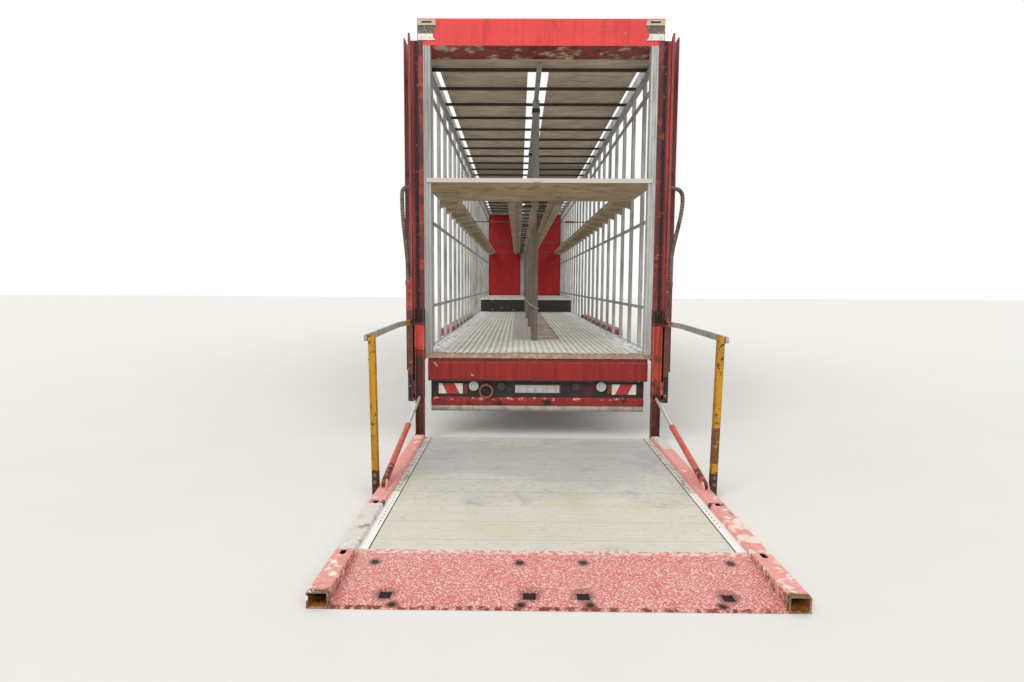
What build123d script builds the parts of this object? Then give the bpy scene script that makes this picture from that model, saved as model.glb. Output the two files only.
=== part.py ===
from build123d import *
from math import cos, pi, radians, sin, tan
import os

# Double-deck semi-trailer with open cage sides, a step frame and a rear column lift whose
# platform lies lowered on the ground. Millimetres, +Z up, +Y towards the kingpin.
# Lengths along Y are measured from the rear face of the portal; the last lines shift every
# piece so that the origin is the middle of the ground under the whole vehicle.

os.makedirs("parts", exist_ok=True)

# Driving dimensions: body
BODY_HALF = 1150
COLUMN_REACH = 125
OVERALL_HALF = BODY_HALF + COLUMN_REACH
FRONT_Y = 13300
FLOOR_Z = 857
FLOOR_THICK = 45
NECK_Z = 1190
NECK_FLOOR_THICK = 40
RISER_Y = 9220
RISER_THICK = 8
UPPER_Z = 2530
UPPER_THICK = 40
HEADER_TOP = 3985
HEADER_H = 245
HEADER_DEPTH = 350
HEADER_RISE = 155
ROOF_RAIL_TOP = HEADER_TOP - HEADER_RISE
SIDE_WALL = 40
WALL_IN = BODY_HALF - SIDE_WALL
RAIL = 30
RUN = 0.3

# Driving dimensions: running gear
TYRE_R = 380
TYRE_W = 214
TWIN_PITCH = 242
RIM_R = 222
OUTER_TYRE_X = BODY_HALF + 10
AXLE_Y = 4810
AXLE_PITCH = 1310
AXLE_COUNT = 3
SPINDLE_R = 45
PIN_FIT = 0.05

# Driving dimensions: lift
CAR_IN = BODY_HALF - 50
CAR_WIDE = 85
CAR_OUT = CAR_IN + CAR_WIDE
MOVE_GAP = 5
HINGE_Y = -118
HINGE_Z = 50
HINGE_PIN_R = 14
ARM_TOP = 85
ARM_IN = CAR_IN - 20
ARM_OUT = CAR_OUT + 2
ARM_END_Y = -3180
PLANK_END_Y = -2640
PLANK_FRONT_Y = -85
PLANK_TOP = 55
PLANK_THICK = 40
POST_REACH = 1475
POST_BASE_Z = 30
RAIL_LEAN = 60
RAIL_RISE = 1120

SIDES = (("left", -1), ("right", 1))


def box(x0, x1, y0, y1, z0, z1):
    """A block between two corners, whichever way round each pair is given."""
    size = (abs(x1 - x0), abs(y1 - y0), abs(z1 - z0))
    return Pos((x0 + x1) / 2, (y0 + y1) / 2, (z0 + z1) / 2) * Box(*size)


def side_box(side, x0, x1, y0, y1, z0, z1):
    """A block whose x sizes are distances from the middle plane, on one side of it."""
    return box(side * x0, side * x1, y0, y1, z0, z1)


def rod_x(x0, x1, y, z, radius):
    """A round bar along X."""
    return Pos((x0 + x1) / 2, y, z) * Rot(0, 90, 0) * Cylinder(radius, abs(x1 - x0))


def rod_y(x, y0, y1, z, radius):
    """A round bar along Y."""
    return Pos(x, (y0 + y1) / 2, z) * Rot(90, 0, 0) * Cylinder(radius, abs(y1 - y0))


def rod_z(x, y, z0, z1, radius):
    """A round bar along Z."""
    return Pos(x, y, (z0 + z1) / 2) * Cylinder(radius, abs(z1 - z0))


def side_plate(points, x0, x1):
    """A plate cut to an outline of (y, z) points, between two x values."""
    low = min(x0, x1)
    face = Plane.YZ.offset(low) * make_face(Polyline(*points, close=True))
    return extrude(face, abs(x1 - x0))


def cross_plate(points, y0, y1):
    """A plate cut to an outline of (x, z) points, between two y values."""
    plane = Plane(origin=(0, y0, 0), x_dir=(1, 0, 0), z_dir=(0, -1, 0))
    return extrude(plane * make_face(Polyline(*points, close=True)), -(y1 - y0))


def plan_plate(points, z0, z1):
    """A plate cut to an outline of (x, y) points, between two heights."""
    face = Plane.XY.offset(z0) * make_face(Polyline(*points, close=True))
    return extrude(face, z1 - z0)


def chamfered(x, y, half, cut):
    """The eight corners of a square with its corners cut off, in a plane."""
    near, far = half - cut, half
    ring = (
        (near, far), (far, near), (far, -near), (near, -far), (-near, -far), (-far, -near), (-far, near),
        (-near, far),
    )
    return [(x + a, y + b) for a, b in ring]


def turned(points, x, side):
    """A body of revolution about the X axis line, from (distance out along the side, radius)."""
    face = make_face(Polyline(*[(side * a, r) for a, r in points], close=True))
    return Pos(x, 0, 0) * revolve(face, Axis.X)


def joined(shapes):
    """Fuses touching pieces into one."""
    whole = shapes[0]
    for piece in shapes[1:]:
        whole = whole + piece
    return whole


nodes = {}

# Chassis: two stepped I-beams
BEAM_X = 500
BEAM_WEB = 10
BEAM_FLANGE = 140
BEAM_FLANGE_T = 14
BEAM_REAR_Y = 90
BEAM_LOW_Z = 500
BEAM_FRONT_Y = FRONT_Y - 60
COUPLING_Z = 985
GOOSE_Y = RISER_Y - 560
GOOSE_END = RISER_Y + 640
LOW_TOP = FLOOR_Z - FLOOR_THICK
NECK_TOP = NECK_Z - NECK_FLOOR_THICK

beam_outline = (
    (BEAM_REAR_Y, LOW_TOP),
    (BEAM_REAR_Y, LOW_TOP - 200),
    (BEAM_REAR_Y + 500, BEAM_LOW_Z),
    (GOOSE_Y, BEAM_LOW_Z),
    (GOOSE_END, COUPLING_Z),
    (BEAM_FRONT_Y, COUPLING_Z),
    (BEAM_FRONT_Y, NECK_TOP),
    (RISER_Y + RISER_THICK, NECK_TOP),
    (RISER_Y + RISER_THICK, LOW_TOP),
)
low_line = beam_outline[1:6]
low_flange = low_line + tuple((y, z + BEAM_FLANGE_T) for y, z in reversed(low_line))
beams = []
for name, side in SIDES:
    near = side * BEAM_X - BEAM_FLANGE / 2
    far = side * BEAM_X + BEAM_FLANGE / 2
    web = side_plate(beam_outline, side * BEAM_X - BEAM_WEB / 2, side * BEAM_X + BEAM_WEB / 2)
    beam = web + side_plate(low_flange, near, far)
    beam = beam + box(near, far, BEAM_REAR_Y, RISER_Y, LOW_TOP - BEAM_FLANGE_T, LOW_TOP)
    beam = beam + box(near, far, RISER_Y + RISER_THICK, BEAM_FRONT_Y, NECK_TOP - BEAM_FLANGE_T, NECK_TOP)
    beams.append(beam)

# Cross members, cut off outside the tyres where the wheels run
CROSS_H = 80
CROSS_W = 50
CROSS_COUNT_LOW = 14
CROSS_FIRST = 300
CROSS_PITCH = 660
CROSS_OUT = WALL_IN
WHEEL_ZONE = (AXLE_Y - AXLE_PITCH - TYRE_R - 120, AXLE_Y + AXLE_PITCH + TYRE_R + 120)
WHEEL_CROSS_OUT = 780
NECK_CROSS_PITCH = 640
NECK_CROSS_COUNT = 6

CHANNEL_WEB = 6
CHANNEL_FLANGE = 9


def channel(y, top, out):
    """A C-section cross member, open to the front, under a floor."""
    low = top - CROSS_H
    outline = (
        (y, low), (y, top), (y + CROSS_W, top), (y + CROSS_W, top - CHANNEL_FLANGE),
        (y + CHANNEL_WEB, top - CHANNEL_FLANGE), (y + CHANNEL_WEB, low + CHANNEL_FLANGE),
        (y + CROSS_W, low + CHANNEL_FLANGE), (y + CROSS_W, low),
    )
    return side_plate(outline, -out, out)


members = []
for i in range(CROSS_COUNT_LOW):
    y = CROSS_FIRST + CROSS_PITCH * i
    out = WHEEL_CROSS_OUT if WHEEL_ZONE[0] < y < WHEEL_ZONE[1] else CROSS_OUT
    members.append(channel(y, LOW_TOP, out))
for i in range(NECK_CROSS_COUNT):
    members.append(channel(RISER_Y + 300 + NECK_CROSS_PITCH * i, NECK_TOP, CROSS_OUT))
cut_members = []
for member in members:
    rest = member - beams[0] - beams[1]
    cut_members += rest.solids()
nodes["cross_members"] = cut_members

# Lower floor: ribbed planks with plain margins
FLOOR_HALF = WALL_IN
RIB_H = 8
RIB_W = 22
RIB_PITCH_X = 62
RIB_FIELD = FLOOR_HALF - 210
CENTRE_STRIP = 320
floor = box(-FLOOR_HALF, FLOOR_HALF, 0, RISER_Y, LOW_TOP, FLOOR_Z - RIB_H)
rib_x = CENTRE_STRIP
floor_ribs = []
while rib_x + RIB_W < RIB_FIELD:
    for name, side in SIDES:
        floor_ribs.append(side_box(side, rib_x, rib_x + RIB_W, 0, RISER_Y, FLOOR_Z - RIB_H, FLOOR_Z))
    rib_x += RIB_PITCH_X
for name, side in SIDES:
    floor_ribs.append(side_box(side, RIB_FIELD, FLOOR_HALF, 0, RISER_Y, FLOOR_Z - RIB_H, FLOOR_Z))
floor_ribs.append(box(-CENTRE_STRIP + RIB_W, CENTRE_STRIP - RIB_W, 0, RISER_Y, FLOOR_Z - RIB_H, FLOOR_Z))
nodes["lower_floor"] = [joined([floor] + floor_ribs)]

# Neck floor and riser
riser = box(-FLOOR_HALF, FLOOR_HALF, RISER_Y, RISER_Y + RISER_THICK, LOW_TOP, NECK_TOP)
nodes["riser_plate"] = [riser]
nodes["neck_floor"] = [box(-FLOOR_HALF, FLOOR_HALF, RISER_Y, FRONT_Y - 60, NECK_TOP, NECK_Z)]

# Coupling plate with the kingpin
KINGPIN_BACK = 1650
COUPLING_TAIL = 550
KINGPIN_Y = FRONT_Y - KINGPIN_BACK
COUPLING_THICK = 12
COUPLING_HALF = 620
KINGPIN_R = 25.4
PIN_FLANGE_R = 35.7
PIN_BASE_R = 36.5
PIN_DROP = 84
coupling = box(-COUPLING_HALF, COUPLING_HALF, KINGPIN_Y - COUPLING_TAIL, FRONT_Y - 60,
               COUPLING_Z - COUPLING_THICK, COUPLING_Z)
pin_profile = (
    (0, 0), (PIN_BASE_R, 0), (PIN_BASE_R, -35), (KINGPIN_R, -37), (KINGPIN_R, -PIN_DROP + 22),
    (PIN_FLANGE_R, -PIN_DROP + 20), (PIN_FLANGE_R, -PIN_DROP), (0, -PIN_DROP),
)
pin = revolve(Plane.XZ * make_face(Polyline(*pin_profile, close=True)), Axis.Z)
nodes["coupling_plate"] = [coupling + Pos(0, KINGPIN_Y, COUPLING_Z - COUPLING_THICK) * pin]

# Rear sill, portal posts and header
SILL_HALF = WALL_IN - 40
SILL_LOW = 590
SILL_STEP_Z = 770
SILL_STEP = 15
SILL_DEPTH = 90
POST_IN = WALL_IN - 80
POST_DEPTH = 90
BEAD_R = 10
BEAD_X = POST_IN + 60
GROOVE_R = 6
sill_profile = (
    (0, SILL_LOW), (0, SILL_STEP_Z), (SILL_STEP, SILL_STEP_Z), (SILL_STEP, LOW_TOP),
    (SILL_DEPTH, LOW_TOP), (SILL_DEPTH, SILL_LOW + 30), (SILL_STEP, SILL_LOW + 30), (SILL_STEP, SILL_LOW),
)
nodes["rear_sill"] = [side_plate(sill_profile, -SILL_HALF, SILL_HALF)]
HEADER_LOW = HEADER_TOP - HEADER_H
portal = []
for name, side in SIDES:
    post = side_box(side, POST_IN, WALL_IN, 0, POST_DEPTH, FLOOR_Z, HEADER_LOW)
    post = post - rod_z(side * (POST_IN + 25), 0, FLOOR_Z, HEADER_LOW, GROOVE_R)
    portal.append(post + rod_z(side * BEAD_X, 0, FLOOR_Z, HEADER_LOW, BEAD_R))
nodes["portal_posts"] = portal
HEADER_ROUND = 14
header = box(-BODY_HALF, BODY_HALF, 0, HEADER_DEPTH, HEADER_LOW, HEADER_TOP)
header = fillet(header.edges().filter_by(Axis.X).group_by(Axis.Z)[-1], HEADER_ROUND)

# Corner brackets: bent plates with a slot and an S-shaped inner edge
BRACKET_W = 170
BRACKET_LOW = HEADER_LOW + 45
BRACKET_TOP = HEADER_TOP - HEADER_ROUND
BRACKET_T = 8
SLOT_LONG = 90
SLOT_HIGH = 12
corner_brackets = []
for name, side in SIDES:
    x_out = BODY_HALF - 6
    x_in = x_out - BRACKET_W
    middle = (BRACKET_TOP + BRACKET_LOW) / 2
    edge = Spline((x_in + 20, BRACKET_TOP), (x_in, middle + 40), (x_in + 28, middle - 40), (x_in + 6, BRACKET_LOW))
    corner = (x_out, BRACKET_LOW)
    top_corner = (x_out, BRACKET_TOP)
    face = make_face([edge, Line(edge @ 1, corner), Line(corner, top_corner), Line(top_corner, edge @ 0)])
    plane = Plane(origin=(0, 0, 0), x_dir=(1, 0, 0), z_dir=(0, -1, 0))
    bent = (
        (0, BRACKET_LOW), (-BRACKET_T, BRACKET_LOW), (-BRACKET_T, middle - 45), (-3, middle - 25),
        (-3, middle + 30), (-2 * BRACKET_T, middle + 50), (-2 * BRACKET_T, BRACKET_TOP - 8), (0, BRACKET_TOP),
    )
    plate = extrude(plane * face, 3 * BRACKET_T) & side_plate(bent, x_in, x_out)
    slot_x = (x_in + x_out) / 2
    plate = plate - box(
        slot_x - SLOT_LONG / 2, slot_x + SLOT_LONG / 2, -3 * BRACKET_T, -3, BRACKET_TOP - 34, BRACKET_TOP - 34 + SLOT_HIGH
    )
    corner_brackets.append(plate if side > 0 else mirror(plate, Plane.YZ))
nodes["roof_header"] = [joined([header] + corner_brackets)]

# Roof: side rails, spine, cross ribs and panels
RIB_PITCH = 607
RIB_FIRST = 583
ROOF_Z = ROOF_RAIL_TOP - 105
ROOF_T = 22
ROOF_RIB_H = 25
ROOF_RIB_HALF = 15
RIB_FLANGE_HALF = 30
RIB_FLANGE_T = 5
RIB_Z0 = ROOF_Z - ROOF_RIB_H
ROOF_RAIL_LOW = RIB_Z0 - 10
RAIL_CUT = 15
SPINE_HALF = 25
SPINE_H = 40
WALL_FRONT = FRONT_Y - 60
roof_ribs = []
rib_y = RIB_FIRST
while rib_y < WALL_FRONT - 200:
    under = ROOF_Z - RIB_FLANGE_T
    outline = (
        (rib_y - RIB_FLANGE_HALF, ROOF_Z), (rib_y + RIB_FLANGE_HALF, ROOF_Z),
        (rib_y + RIB_FLANGE_HALF, under), (rib_y + ROOF_RIB_HALF, under),
        (rib_y + ROOF_RIB_HALF, RIB_Z0), (rib_y - ROOF_RIB_HALF, RIB_Z0),
        (rib_y - ROOF_RIB_HALF, under), (rib_y - RIB_FLANGE_HALF, under),
    )
    roof_ribs.append(side_plate(outline, -WALL_IN, WALL_IN))
    rib_y += RIB_PITCH
nodes["roof_ribs"] = roof_ribs
roof_rails = []
for name, side in SIDES:
    outline = (
        (side * WALL_IN, ROOF_RAIL_LOW), (side * BODY_HALF, ROOF_RAIL_LOW),
        (side * BODY_HALF, ROOF_RAIL_TOP - RAIL_CUT), (side * (BODY_HALF - RAIL_CUT), ROOF_RAIL_TOP),
        (side * WALL_IN, ROOF_RAIL_TOP),
    )
    roof_rails.append(cross_plate(outline, HEADER_DEPTH, WALL_FRONT))
roof_rails.append(box(-SPINE_HALF, SPINE_HALF, HEADER_DEPTH, WALL_FRONT, RIB_Z0 - SPINE_H, RIB_Z0))
nodes["roof_rails"] = roof_rails
PANEL_IN = 110
PANEL_OUT = WALL_IN - 90
panels = [box(-WALL_IN, WALL_IN, HEADER_DEPTH, RIB_FIRST, ROOF_Z, ROOF_Z + ROOF_T)]
for name, side in SIDES:
    panels.append(side_box(side, PANEL_IN, PANEL_OUT, RIB_FIRST + 1, WALL_FRONT, ROOF_Z, ROOF_Z + ROOF_T))
nodes["roof_panels"] = panels

# Front wall: grey frame and two red panels
FRONT_POST = 120
FRONT_T = 30
front_frame = [box(-FRONT_POST, FRONT_POST, WALL_FRONT, FRONT_Y, COUPLING_Z, ROOF_RAIL_TOP)]
front_frame.append(box(-BODY_HALF, BODY_HALF, WALL_FRONT, FRONT_Y, ROOF_Z - 60, ROOF_RAIL_TOP))
front_frame.append(box(-BODY_HALF, BODY_HALF, WALL_FRONT, FRONT_Y, COUPLING_Z, COUPLING_Z + 100))
for name, side in SIDES:
    front_frame.append(side_box(side, WALL_IN, BODY_HALF, WALL_FRONT, FRONT_Y, COUPLING_Z, ROOF_RAIL_TOP))
nodes["front_frame"] = [joined(front_frame)]
front_panels = []
for name, side in SIDES:
    front_panels.append(
        side_box(side, FRONT_POST, WALL_IN, FRONT_Y - FRONT_T, FRONT_Y, COUPLING_Z + 100, ROOF_Z - 60)
    )
nodes["front_panels"] = front_panels

# Side cages: upright square bars, inner rails and bottom rails
BAR = 40
BAR_CUT = 4
BAR_FIRST = 767
SIDE_RAIL_LOW = FLOOR_Z - 67
NECK_RAIL_LOW = NECK_Z - 70
RAIL_ROUND = 8
RAIL_EDGE = 6
side_bars = []
for name, side in SIDES:
    x = side * (WALL_IN + BAR / 2)
    bar_y = BAR_FIRST
    while bar_y < WALL_FRONT - BAR:
        base = FLOOR_Z if bar_y < RISER_Y else NECK_Z
        side_bars.append(plan_plate(chamfered(x, bar_y, BAR / 2, BAR_CUT), base, ROOF_RAIL_LOW))
        bar_y += RIB_PITCH
nodes["side_bars"] = side_bars
inner_rail_rows = (
    # low edge, height
    (RIB_Z0 - 55, 30),
    (RIB_Z0 - 110, 20),
    (RIB_Z0 - 285, 30),
    (UPPER_Z - 380, 30),
    (FLOOR_Z + 428, 30),
)


def bottom_rail(side, low, high, y0, y1):
    """A bottom rail whose outer lower edge is cut off."""
    outline = (
        (side * WALL_IN, low), (side * (BODY_HALF - RAIL_EDGE), low), (side * BODY_HALF, low + RAIL_EDGE),
        (side * BODY_HALF, high), (side * WALL_IN, high),
    )
    return cross_plate(outline, y0, y1)


side_rails = []
for name, side in SIDES:
    pieces = [bottom_rail(side, SIDE_RAIL_LOW, FLOOR_Z, 0, RISER_Y)]
    pieces.append(bottom_rail(side, NECK_RAIL_LOW, NECK_Z, RISER_Y, WALL_FRONT))
    pieces.append(side_box(side, WALL_IN, BODY_HALF, RISER_Y, RISER_Y + BAR, SIDE_RAIL_LOW, NECK_Z))
    side_rails.append(joined(pieces))
    for low, height in inner_rail_rows:
        inner = WALL_IN - RAIL
        high = low + height
        outline = (
            (side * WALL_IN, low), (side * WALL_IN, high), (side * (inner + RAIL_ROUND), high),
            (side * inner, high - RAIL_ROUND), (side * inner, low + RAIL_ROUND), (side * (inner + RAIL_ROUND), low),
        )
        side_rails.append(cross_plate(outline, POST_DEPTH, WALL_FRONT))
nodes["side_rails"] = side_rails

# Upper deck: rear plate, side ledges, centre ledge
UPPER_LOW = UPPER_Z - UPPER_THICK
PLATE_END_Y = 1300
LIP_HALF = WALL_IN - 40
deck_lip = box(-LIP_HALF, LIP_HALF, -8, 0, UPPER_LOW, UPPER_Z)
deck_rear = box(-POST_IN, POST_IN, 0, POST_DEPTH, UPPER_LOW, UPPER_Z)
deck_main = box(-WALL_IN, WALL_IN, POST_DEPTH, PLATE_END_Y, UPPER_LOW, UPPER_Z)
LATCH_X = -24
LATCH_HALF = 32
latch = box(LATCH_X - LATCH_HALF, LATCH_X + LATCH_HALF, -20, -8, UPPER_LOW + 6, UPPER_Z - 4)
nodes["upper_rear_plate"] = [joined([deck_lip, deck_rear, deck_main, latch])]
LEDGE_T = 30
LEDGE_TOP = UPPER_Z - 15
LEDGE_IN = WALL_IN - 215
CENTRE_HALF = 320
LIP_T = 20
LIP_H = 25
GUSSET_T = 10
GUSSET_H = 75
side_ledges = []
for name, side in SIDES:
    ledge = side_box(side, LEDGE_IN, WALL_IN, PLATE_END_Y, WALL_FRONT, LEDGE_TOP - LEDGE_T, LEDGE_TOP)
    lip = side_box(side, LEDGE_IN, LEDGE_IN + LIP_T, PLATE_END_Y, WALL_FRONT, LEDGE_TOP, LEDGE_TOP + LIP_H)
    pieces = [ledge, lip]
    gusset_y = BAR_FIRST + RIB_PITCH
    while gusset_y < WALL_FRONT - BAR:
        low = LEDGE_TOP - LEDGE_T
        outline = (
            (side * WALL_IN, low), (side * (LEDGE_IN + 10), low), (side * (LEDGE_IN + 10), low - 20),
            (side * WALL_IN, low - GUSSET_H),
        )
        pieces.append(cross_plate(outline, gusset_y - GUSSET_T / 2, gusset_y + GUSSET_T / 2))
        gusset_y += RIB_PITCH
    side_ledges.append(joined(pieces))
nodes["side_ledges"] = side_ledges

CENTRE_POST_W = 80
CENTRE_POST_D = 80
CENTRE_POST_FIRST = 1460
CENTRE_POST_PITCH = 4 * RIB_PITCH
CLAMP_GROW = 7
CLAMP_H = 45
UPPER_CLAMP_DROP = 310
clamp_rows = (1230, ROOF_RAIL_TOP - UPPER_CLAMP_DROP)
SPINE_BEAM_HALF = 40
SPINE_BEAM_DROP = 25
LEDGE_BEAM_W = 85
LEDGE_BEAM_DROP = 30
TOOTH_ROOT_X = 150
TOOTH_ROOT_HALF = 85
TOOTH_TIP_HALF = 18
TOOTH_PITCH = 450
LEDGE_LOW = LEDGE_TOP - LEDGE_T
SPINE_BEAM_LOW = LEDGE_LOW - SPINE_BEAM_DROP
HEAD_HALF_X = 135
HEAD_HALF_Y = 60
HEAD_T = 25
HEAD_LOW = SPINE_BEAM_LOW - HEAD_T
post_rows = []
post_y = CENTRE_POST_FIRST
while post_y < WALL_FRONT - 200:
    post_rows.append(post_y)
    post_y += CENTRE_POST_PITCH
centre = [box(-SPINE_BEAM_HALF, SPINE_BEAM_HALF, PLATE_END_Y, WALL_FRONT, SPINE_BEAM_LOW, LEDGE_TOP)]
for post_y in post_rows:
    # head plate over each lower post
    centre.append(box(-HEAD_HALF_X, HEAD_HALF_X, post_y - HEAD_HALF_Y, post_y + HEAD_HALF_Y, HEAD_LOW, SPINE_BEAM_LOW))
for name, side in SIDES:
    centre.append(side_box(side, TOOTH_ROOT_X, CENTRE_HALF, PLATE_END_Y, WALL_FRONT, LEDGE_LOW, LEDGE_TOP))
    centre.append(
        side_box(
            side, CENTRE_HALF - LEDGE_BEAM_W, CENTRE_HALF, PLATE_END_Y, WALL_FRONT, LEDGE_LOW - LEDGE_BEAM_DROP, LEDGE_LOW
        )
    )
    centre.append(
        side_box(side, CENTRE_HALF - LIP_T, CENTRE_HALF, PLATE_END_Y, WALL_FRONT, LEDGE_TOP, LEDGE_TOP + LIP_H)
    )
    tooth_y = PLATE_END_Y + TOOTH_ROOT_HALF
    while tooth_y < WALL_FRONT - TOOTH_ROOT_HALF:
        tip = side * SPINE_BEAM_HALF
        root = side * TOOTH_ROOT_X
        outline = (
            (root, tooth_y - TOOTH_ROOT_HALF), (root, tooth_y + TOOTH_ROOT_HALF),
            (tip, tooth_y + TOOTH_TIP_HALF), (tip, tooth_y - TOOTH_TIP_HALF),
        )
        centre.append(plan_plate(outline, LEDGE_LOW, LEDGE_TOP - LEDGE_T / 2))
        tooth_y += TOOTH_PITCH
nodes["centre_ledge"] = [joined(centre)]

# Centre posts: below the ledge a wide tube with a collar and a thin tube that slides in it; above it one tube
COLLAR_TOP = 2150
INNER_TUBE = 40


def centre_post(y, foot, head, grow=0.0):
    """A square tube between two heights, grown by a clamp's thickness where one is wanted."""
    half_w = CENTRE_POST_W / 2 + grow
    half_d = CENTRE_POST_D / 2 + grow
    return box(-half_w, half_w, y - half_d, y + half_d, foot, head)


centre_posts = []
for post_y in post_rows:
    base = FLOOR_Z if post_y < RISER_Y else NECK_Z
    thin = INNER_TUBE / 2
    lower = [
        centre_post(post_y, base, COLLAR_TOP), centre_post(post_y, COLLAR_TOP - CLAMP_H, COLLAR_TOP, CLAMP_GROW),
        centre_post(post_y, clamp_rows[0], clamp_rows[0] + CLAMP_H, CLAMP_GROW),
        box(-thin, thin, post_y - thin, post_y + thin, COLLAR_TOP, HEAD_LOW),
    ]
    upper = [
        centre_post(post_y, LEDGE_TOP, RIB_Z0 - SPINE_H),
        centre_post(post_y, clamp_rows[1], clamp_rows[1] + CLAMP_H, CLAMP_GROW),
    ]
    centre_posts += [joined(lower), joined(upper)]
nodes["centre_posts"] = centre_posts

# Tie rods with turnbuckles across each lane
TIE_YS = (3770, 8300, 12830)
TIE_R = 8
BUCKLE_R = 15
ties = []
for y in TIE_YS:
    for name, side in SIDES:
        z = LEDGE_TOP - LEDGE_T / 2
        bar = rod_x(side * CENTRE_HALF, side * LEDGE_IN, y, z, TIE_R)
        middle = (CENTRE_HALF + LEDGE_IN) / 2
        buckle = rod_x(side * (middle - 70), side * (middle + 70), y, z, BUCKLE_R)
        ties.append(bar + buckle)
nodes["tie_rods"] = ties

# Wheel-arch covers outside the cage
COVER_LENGTH = 4400
COVER_Y = (AXLE_Y - COVER_LENGTH / 2, AXLE_Y + COVER_LENGTH / 2)
COVER_LOW = FLOOR_Z - 57
COVER_TOP = FLOOR_Z + 53
COVER_T = 4
COVER_OUT = OVERALL_HALF - 10
covers = []
for name, side in SIDES:
    block = side_box(side, BODY_HALF, COVER_OUT, *COVER_Y, COVER_LOW, COVER_TOP)
    hollow = side_box(
        side, BODY_HALF + COVER_T, COVER_OUT - COVER_T, COVER_Y[0] + COVER_T, COVER_Y[1] - COVER_T,
        COVER_LOW - 10, COVER_TOP - COVER_T,
    )
    covers.append(block - hollow)
nodes["wheel_arch_covers"] = covers

# Wheels
TYRE_SIDES = 40
BEAD_HALF = 78
BEAD_WALL_R = RIM_R + 78
TREAD_HALF = 92
tyre_half = TYRE_W / 2
tyre_profile = (
    # distance from the middle of the tyre, radius to the flats
    (-BEAD_HALF, RIM_R + RUN), (-tyre_half, BEAD_WALL_R), (-TREAD_HALF, TYRE_R),
    (TREAD_HALF, TYRE_R), (tyre_half, BEAD_WALL_R), (BEAD_HALF, RIM_R + RUN),
)


def faceted_tyre():
    """A tyre about the X axis with flat sides all round, one of them downwards."""
    half_turn = pi / TYRE_SIDES
    rings = []
    for across, radius in tyre_profile:
        corner = radius / cos(half_turn)
        rings.append([
            (across, corner * sin((2 * i + 1) * half_turn), -corner * cos((2 * i + 1) * half_turn))
            for i in range(TYRE_SIDES)
        ])
    faces = []
    for here, there in zip(rings, rings[1:] + rings[:1]):
        for i in range(TYRE_SIDES):
            after = (i + 1) % TYRE_SIDES
            faces.append(make_face(Polyline(here[i], here[after], there[after], there[i], close=True)))
    return Solid(Shell(faces))


RIM_WALL = 8
DISC_T = 18
HUB_R = 105
MID_X = OUTER_TYRE_X - TWIN_PITCH / 2
RIM_IN = OUTER_TYRE_X - TWIN_PITCH - 96
RIM_OUT = OUTER_TYRE_X + 96
HUB_END = OUTER_TYRE_X + 60
BORE_END = HUB_END - 40
HUB_IN = MID_X - 90
rim_profile = (
    (RIM_IN, RIM_R + 12), (RIM_IN + 12, RIM_R + 12), (RIM_IN + 12, RIM_R),
    (RIM_OUT - 12, RIM_R), (RIM_OUT - 12, RIM_R + 12), (RIM_OUT, RIM_R + 12),
    (RIM_OUT, RIM_R - RIM_WALL), (MID_X + DISC_T / 2, RIM_R - RIM_WALL),
    (MID_X + DISC_T / 2, HUB_R), (HUB_END, HUB_R - 20), (HUB_END, 0), (BORE_END, 0),
    (BORE_END, SPINDLE_R + PIN_FIT), (HUB_IN, SPINDLE_R + PIN_FIT), (HUB_IN, HUB_R),
    (MID_X - DISC_T / 2, HUB_R), (MID_X - DISC_T / 2, RIM_R - RIM_WALL), (RIM_IN, RIM_R - RIM_WALL),
)
wheel_rows = []
for i in range(AXLE_COUNT):
    wheel_rows.append((i + 1, AXLE_Y + AXLE_PITCH * (i - 1)))
tyre = faceted_tyre()
for number, y in wheel_rows:
    for name, side in SIDES:
        twins = []
        for x in (OUTER_TYRE_X, OUTER_TYRE_X - TWIN_PITCH):
            twins.append(Pos(side * x, y, TYRE_R) * tyre)
        nodes[f"tyres_{name}_{number}"] = twins
        nodes[f"rim_{name}_{number}"] = [Pos(0, y, TYRE_R) * turned(rim_profile, 0, side)]

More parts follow.
